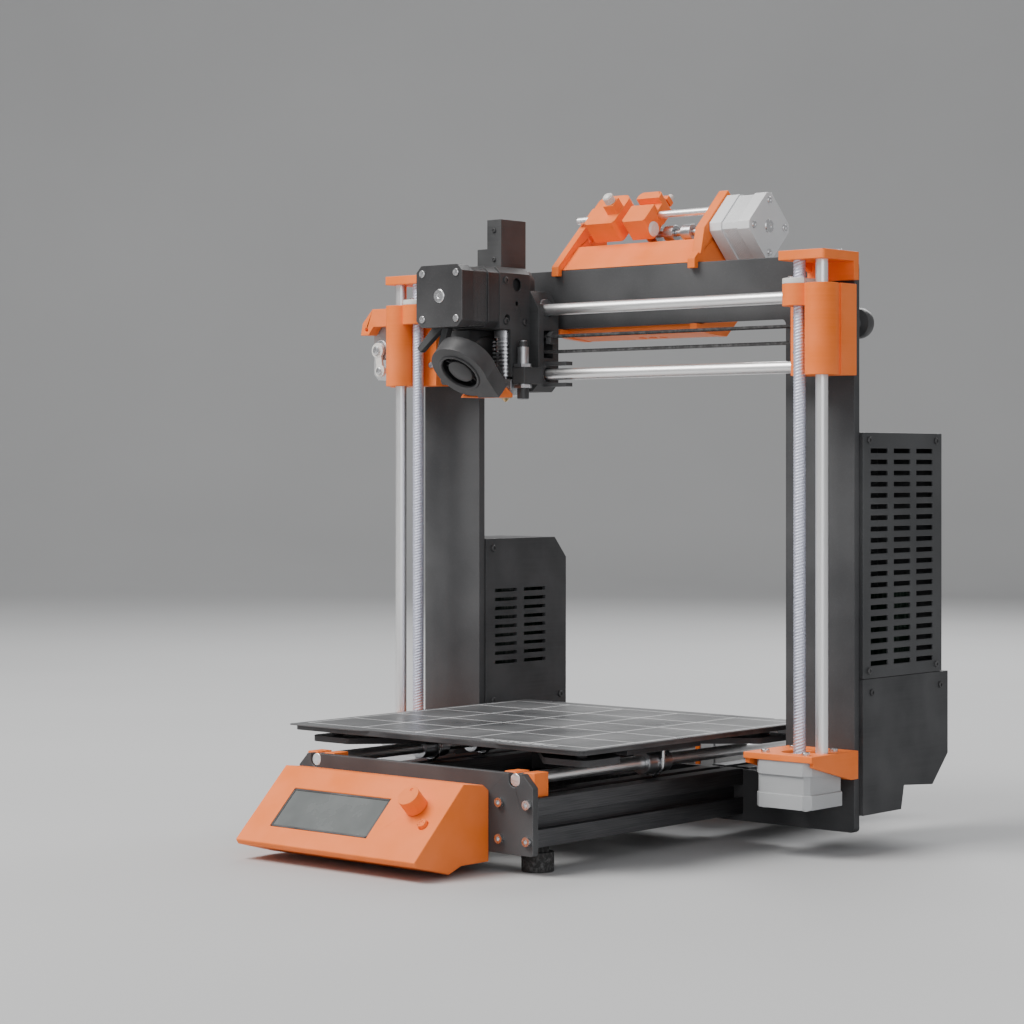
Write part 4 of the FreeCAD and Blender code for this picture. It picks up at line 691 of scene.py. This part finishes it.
def on_selector(x, up, out):
    """Point on the selector's sloping front: across, up the slope and out of it, in millimetres."""
    return spot(x, 30, 383.3) + (SELECTOR_UP * up + SELECTOR_OUT * out) * MM


def knurled(shape, radius, height, place, axis, ribs=18):
    """Thumb screw with a ribbed rim and a domed top."""
    turn = UP.rotation_difference(axis).to_matrix()
    outline = []
    for step in range(ribs * 4):
        reach = radius - (0.35 * MM if step % 4 > 1 else 0)
        angle = 2 * math.pi * step / (ribs * 4)
        outline.append((reach * math.cos(angle), reach * math.sin(angle)))
    shape.plate(outline, height * 0.75, place, turn)
    shape.turned([(0, height), (radius * 0.5, height * 0.97), (radius * 0.8, height * 0.85),
                  (radius * 0.88, height * 0.7), (0, height * 0.7)], place, axis, 40)


def motor_seat():
    """Raised edge of the right bracket, which holds the feed motor's front corner."""
    turn = Matrix((SELECTOR_UP, SELECTOR_OUT, RIGHT)).transposed()
    outline = sized((4, 4.1), (19.5, 13.6), (57.5, 13.6), (57.5, 3.2), (4, 3.2))
    left, wide = 57.2, 7.8 * MM
    seat = Shape().plate(outline, wide, on_selector(left, 0, 0), turn)
    seat.finish("motor_seat", "orange_print", "base", 0.6 * MM)


def selector_pieces():
    """Thumb screw of the idler, screw and pale collet of the slider, screws of the brackets."""
    thumb = Shape()
    knurled(thumb, 3.8 * MM, 6.5 * MM, on_selector(-21.5, 40.5, 25), SELECTOR_OUT)
    thumb.finish("idler_thumb_screw", "white_nut", "base")
    screws("slider_screw", [(on_selector(7, 62, 5.5), SELECTOR_UP)], "selector_slider",
           2.1 * MM, 4.6 * MM, "white_nut")
    collet = Shape().turned(sized((0, 1.8), (1.2, 1.8), (1.5, 1.5), (4.0, 1.6), (5.0, 0.9),
                                  (5.3, 0), (0, 0)), on_selector(11, 31, 6), RIGHT, 40)
    collet.finish("slider_collet", "white_nut", "selector_slider")
    heads = [(on_selector(x, 4.5, 0.6), SELECTOR_OUT) for x in (-60, 61)]
    screws("bracket_screws", heads, "base", 1.8 * MM, 1.0 * MM)


def rear_knob():
    """Round black knob on a short stem behind the upright plate's right edge."""
    knob = Shape().turned(sized((0, 24), (7.5, 24), (9.4, 23), (10, 21), (10, 18), (9.4, 16.2),
                                (4.5, 15), (3.2, 13), (3.2, 1.5), (4.6, 0.8), (4.6, 0), (0, 0)),
                          spot(174, 36, 339), REAR, 48)
    knob.finish("rear_knob", "black_mould", "base")


# ---------------------------------------------------------------- panel and bed pieces
def screen_rim():
    """Thin black rim round the front face of the display's glass."""
    node = frame["nodes"]["screen"]
    sloping = [face for face in node.data.polygons if face.normal.y < -0.3 and face.normal.z > 0.3]
    out = max(sloping, key=lambda face: face.area).normal.copy()
    up = out.cross(RIGHT)
    corners = [node.matrix_world @ corner.co for corner in node.data.vertices]
    front = max(out.dot(corner) for corner in corners)
    face = [corner for corner in corners if out.dot(corner) > front - 0.05 * MM]
    across, along = [RIGHT.dot(corner) for corner in face], [up.dot(corner) for corner in face]
    left, right, low, high = min(across), max(across), min(along), max(along)
    wide, thick = 1.3 * MM, 0.3 * MM
    rim = Shape()
    for x0, y0, x1, y1 in ((left, low, right, low + wide), (left, high - wide, right, high),
                           (left, low, left + wide, high), (right - wide, low, right, high)):
        rim.plate([(x0, y0), (x1, y0), (x1, y1), (x0, y1)], thick, out * front,
                  Matrix((RIGHT, up, out)).transposed())
    rim.finish("screen_rim", "black_mould", "base")


def sheet_marks():
    """Small pale printed dashes near the sheet's front right corner."""
    low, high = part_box("print_sheet")
    marks = Shape()
    start = Vector((high.x - 88 * MM, low.y + 7.5 * MM, high.z))
    row_pitch, wide, gap, ink = 3.2 * MM, 1.3, 2.2, 0.06 * MM
    for row, lengths in enumerate(((14, 9, 12, 7, 11), (8, 8, 8, 8, 8))):
        along = 0.0
        for length in lengths:
            marks.plate(sized((0, 0), (length, 0), (length, wide), (0, wide)), ink,
                        start + Vector((along, row * row_pitch, 0)))
            along += (length + gap) * MM
    marks.finish("sheet_marks", "sheet_coat", "print_sheet", material=SHEET_INK)


def bed_u_bolts():
    """U-bolts that hold the bed's bearings under the tray."""
    shape = Shape()
    radius, wire, leg = 8.6 * MM, 1.3 * MM, 7.6 * MM
    bend_steps, sides = 24, 12
    low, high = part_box("bed_bearings")
    rod_z = (low.z + high.z) / 2
    for x, y in ((-85, -74), (-85, -22), (85, -48)):
        middle = spot(x, y, rod_z / MM)
        path = [middle + Vector((-radius, 0, leg))]
        for step in range(bend_steps + 1):
            angle = math.pi + math.pi * step / bend_steps
            path.append(middle + Vector((radius * math.cos(angle), 0, radius * math.sin(angle))))
        path.append(middle + Vector((radius, 0, leg)))
        rings = []
        for index, point in enumerate(path):
            before, after = path[max(index - 1, 0)], path[min(index + 1, len(path) - 1)]
            aside = REAR.cross((after - before).normalized())
            ring = []
            for step in range(sides):
                angle = 2 * math.pi * step / sides
                reach = REAR * math.cos(angle) + aside * math.sin(angle)
                ring.append(shape.mesh.verts.new(point + reach * wire))
            rings.append(ring)
        shape.tube(rings)
    shape.finish("bearing_u_bolts", "bolt_steel", "bed")


# ---------------------------------------------------------------- stage, light and camera
def stage_floor():
    """Pale floor that sweeps up into a backdrop behind the printer."""
    paint = Paint("floor_paint", 0.75)
    tone = paint.noise(0.6, 3.0)
    dark, light = (0.46, 0.465, 0.47), (0.49, 0.495, 0.50)
    paint.colour(paint.blend(paint.spread(tone, 0.3, 0.7), dark, light))
    shape = Shape()
    reach, bend, back, wall, below = 6.0, 1.2, 3.2, 4.5, 0.0002
    steps = 16
    profile = [(-reach, 0.0)]
    for step in range(steps + 1):
        angle = math.pi / 2 * step / steps
        profile.append((back + bend * math.sin(angle), bend - bend * math.cos(angle)))
    profile.append((back + bend, wall))
    away = Vector((-0.64, 0.77, 0)).normalized()
    across = away.cross(UP)
    rows = [[shape.mesh.verts.new(away * depth + across * side * reach + UP * (z - below))
             for side in (-1, 1)] for depth, z in profile]
    for near, far in zip(rows, rows[1:]):
        shape.mesh.faces.new((near[0], near[1], far[1], far[0]))
    data = bpy.data.meshes.new("floor")
    shape.mesh.to_mesh(data)
    shape.mesh.free()
    data.shade_smooth()
    data.materials.append(paint.material)
    floor = bpy.data.objects.new("floor", data)
    bpy.context.scene.collection.objects.link(floor)


def area_light(name, place, target, size, power, colour=(1, 1, 1)):
    """Square soft light that faces a point."""
    data = bpy.data.lights.new(name, "AREA")
    data.size = size
    data.energy = power
    data.color = colour
    lamp = bpy.data.objects.new(name, data)
    bpy.context.scene.collection.objects.link(lamp)
    lamp.location = place
    lamp.rotation_euler = (Vector(target) - Vector(place)).to_track_quat("-Z", "Y").to_euler()


def light_and_camera():
    """Soft studio light, and a level camera at the photograph's viewing angle."""
    world = bpy.data.worlds.new("studio")
    world.use_nodes = True
    sky = world.node_tree.nodes["Background"]
    sky.inputs["Color"].default_value = (0.90, 0.90, 0.91, 1)
    sky.inputs["Strength"].default_value = 0.45
    bpy.context.scene.world = world
    middle = (0.0, 0.0, 0.22)
    area_light("key", (-0.9, -1.5, 2.4), middle, 1.6, 112, (1, 0.985, 0.96))
    area_light("fill", (1.9, -1.6, 1.1), middle, 1.8, 17, (0.97, 0.98, 1))
    area_light("rim", (-0.6, 1.9, 1.7), middle, 1.4, 40)
    data = bpy.data.cameras.new("camera")
    data.lens = 92
    camera = bpy.data.objects.new("camera", data)
    bpy.context.scene.collection.objects.link(camera)
    camera.location = spot(1122.0, -1371.3, 246.5)
    aim = Vector((-0.012, 0, camera.location.z))
    camera.rotation_euler = (aim - camera.location).to_track_quat("-Z", "Y").to_euler()
    data.shift_y = -0.045
    bpy.context.scene.camera = camera


dress_frame()
for screw in ("left_lead_screw", "right_lead_screw"):
    lead_screw(screw)
motors()
belt_teeth("x_belt", "gantry", REAR)
belt_teeth("y_belt", "base", RIGHT)
fasteners()
blower_details()
probe_and_nozzle()
belt_link()
motor_seat()
selector_pieces()
rear_knob()
screen_rim()
sheet_marks()
bed_u_bolts()
stage_floor()
light_and_camera()
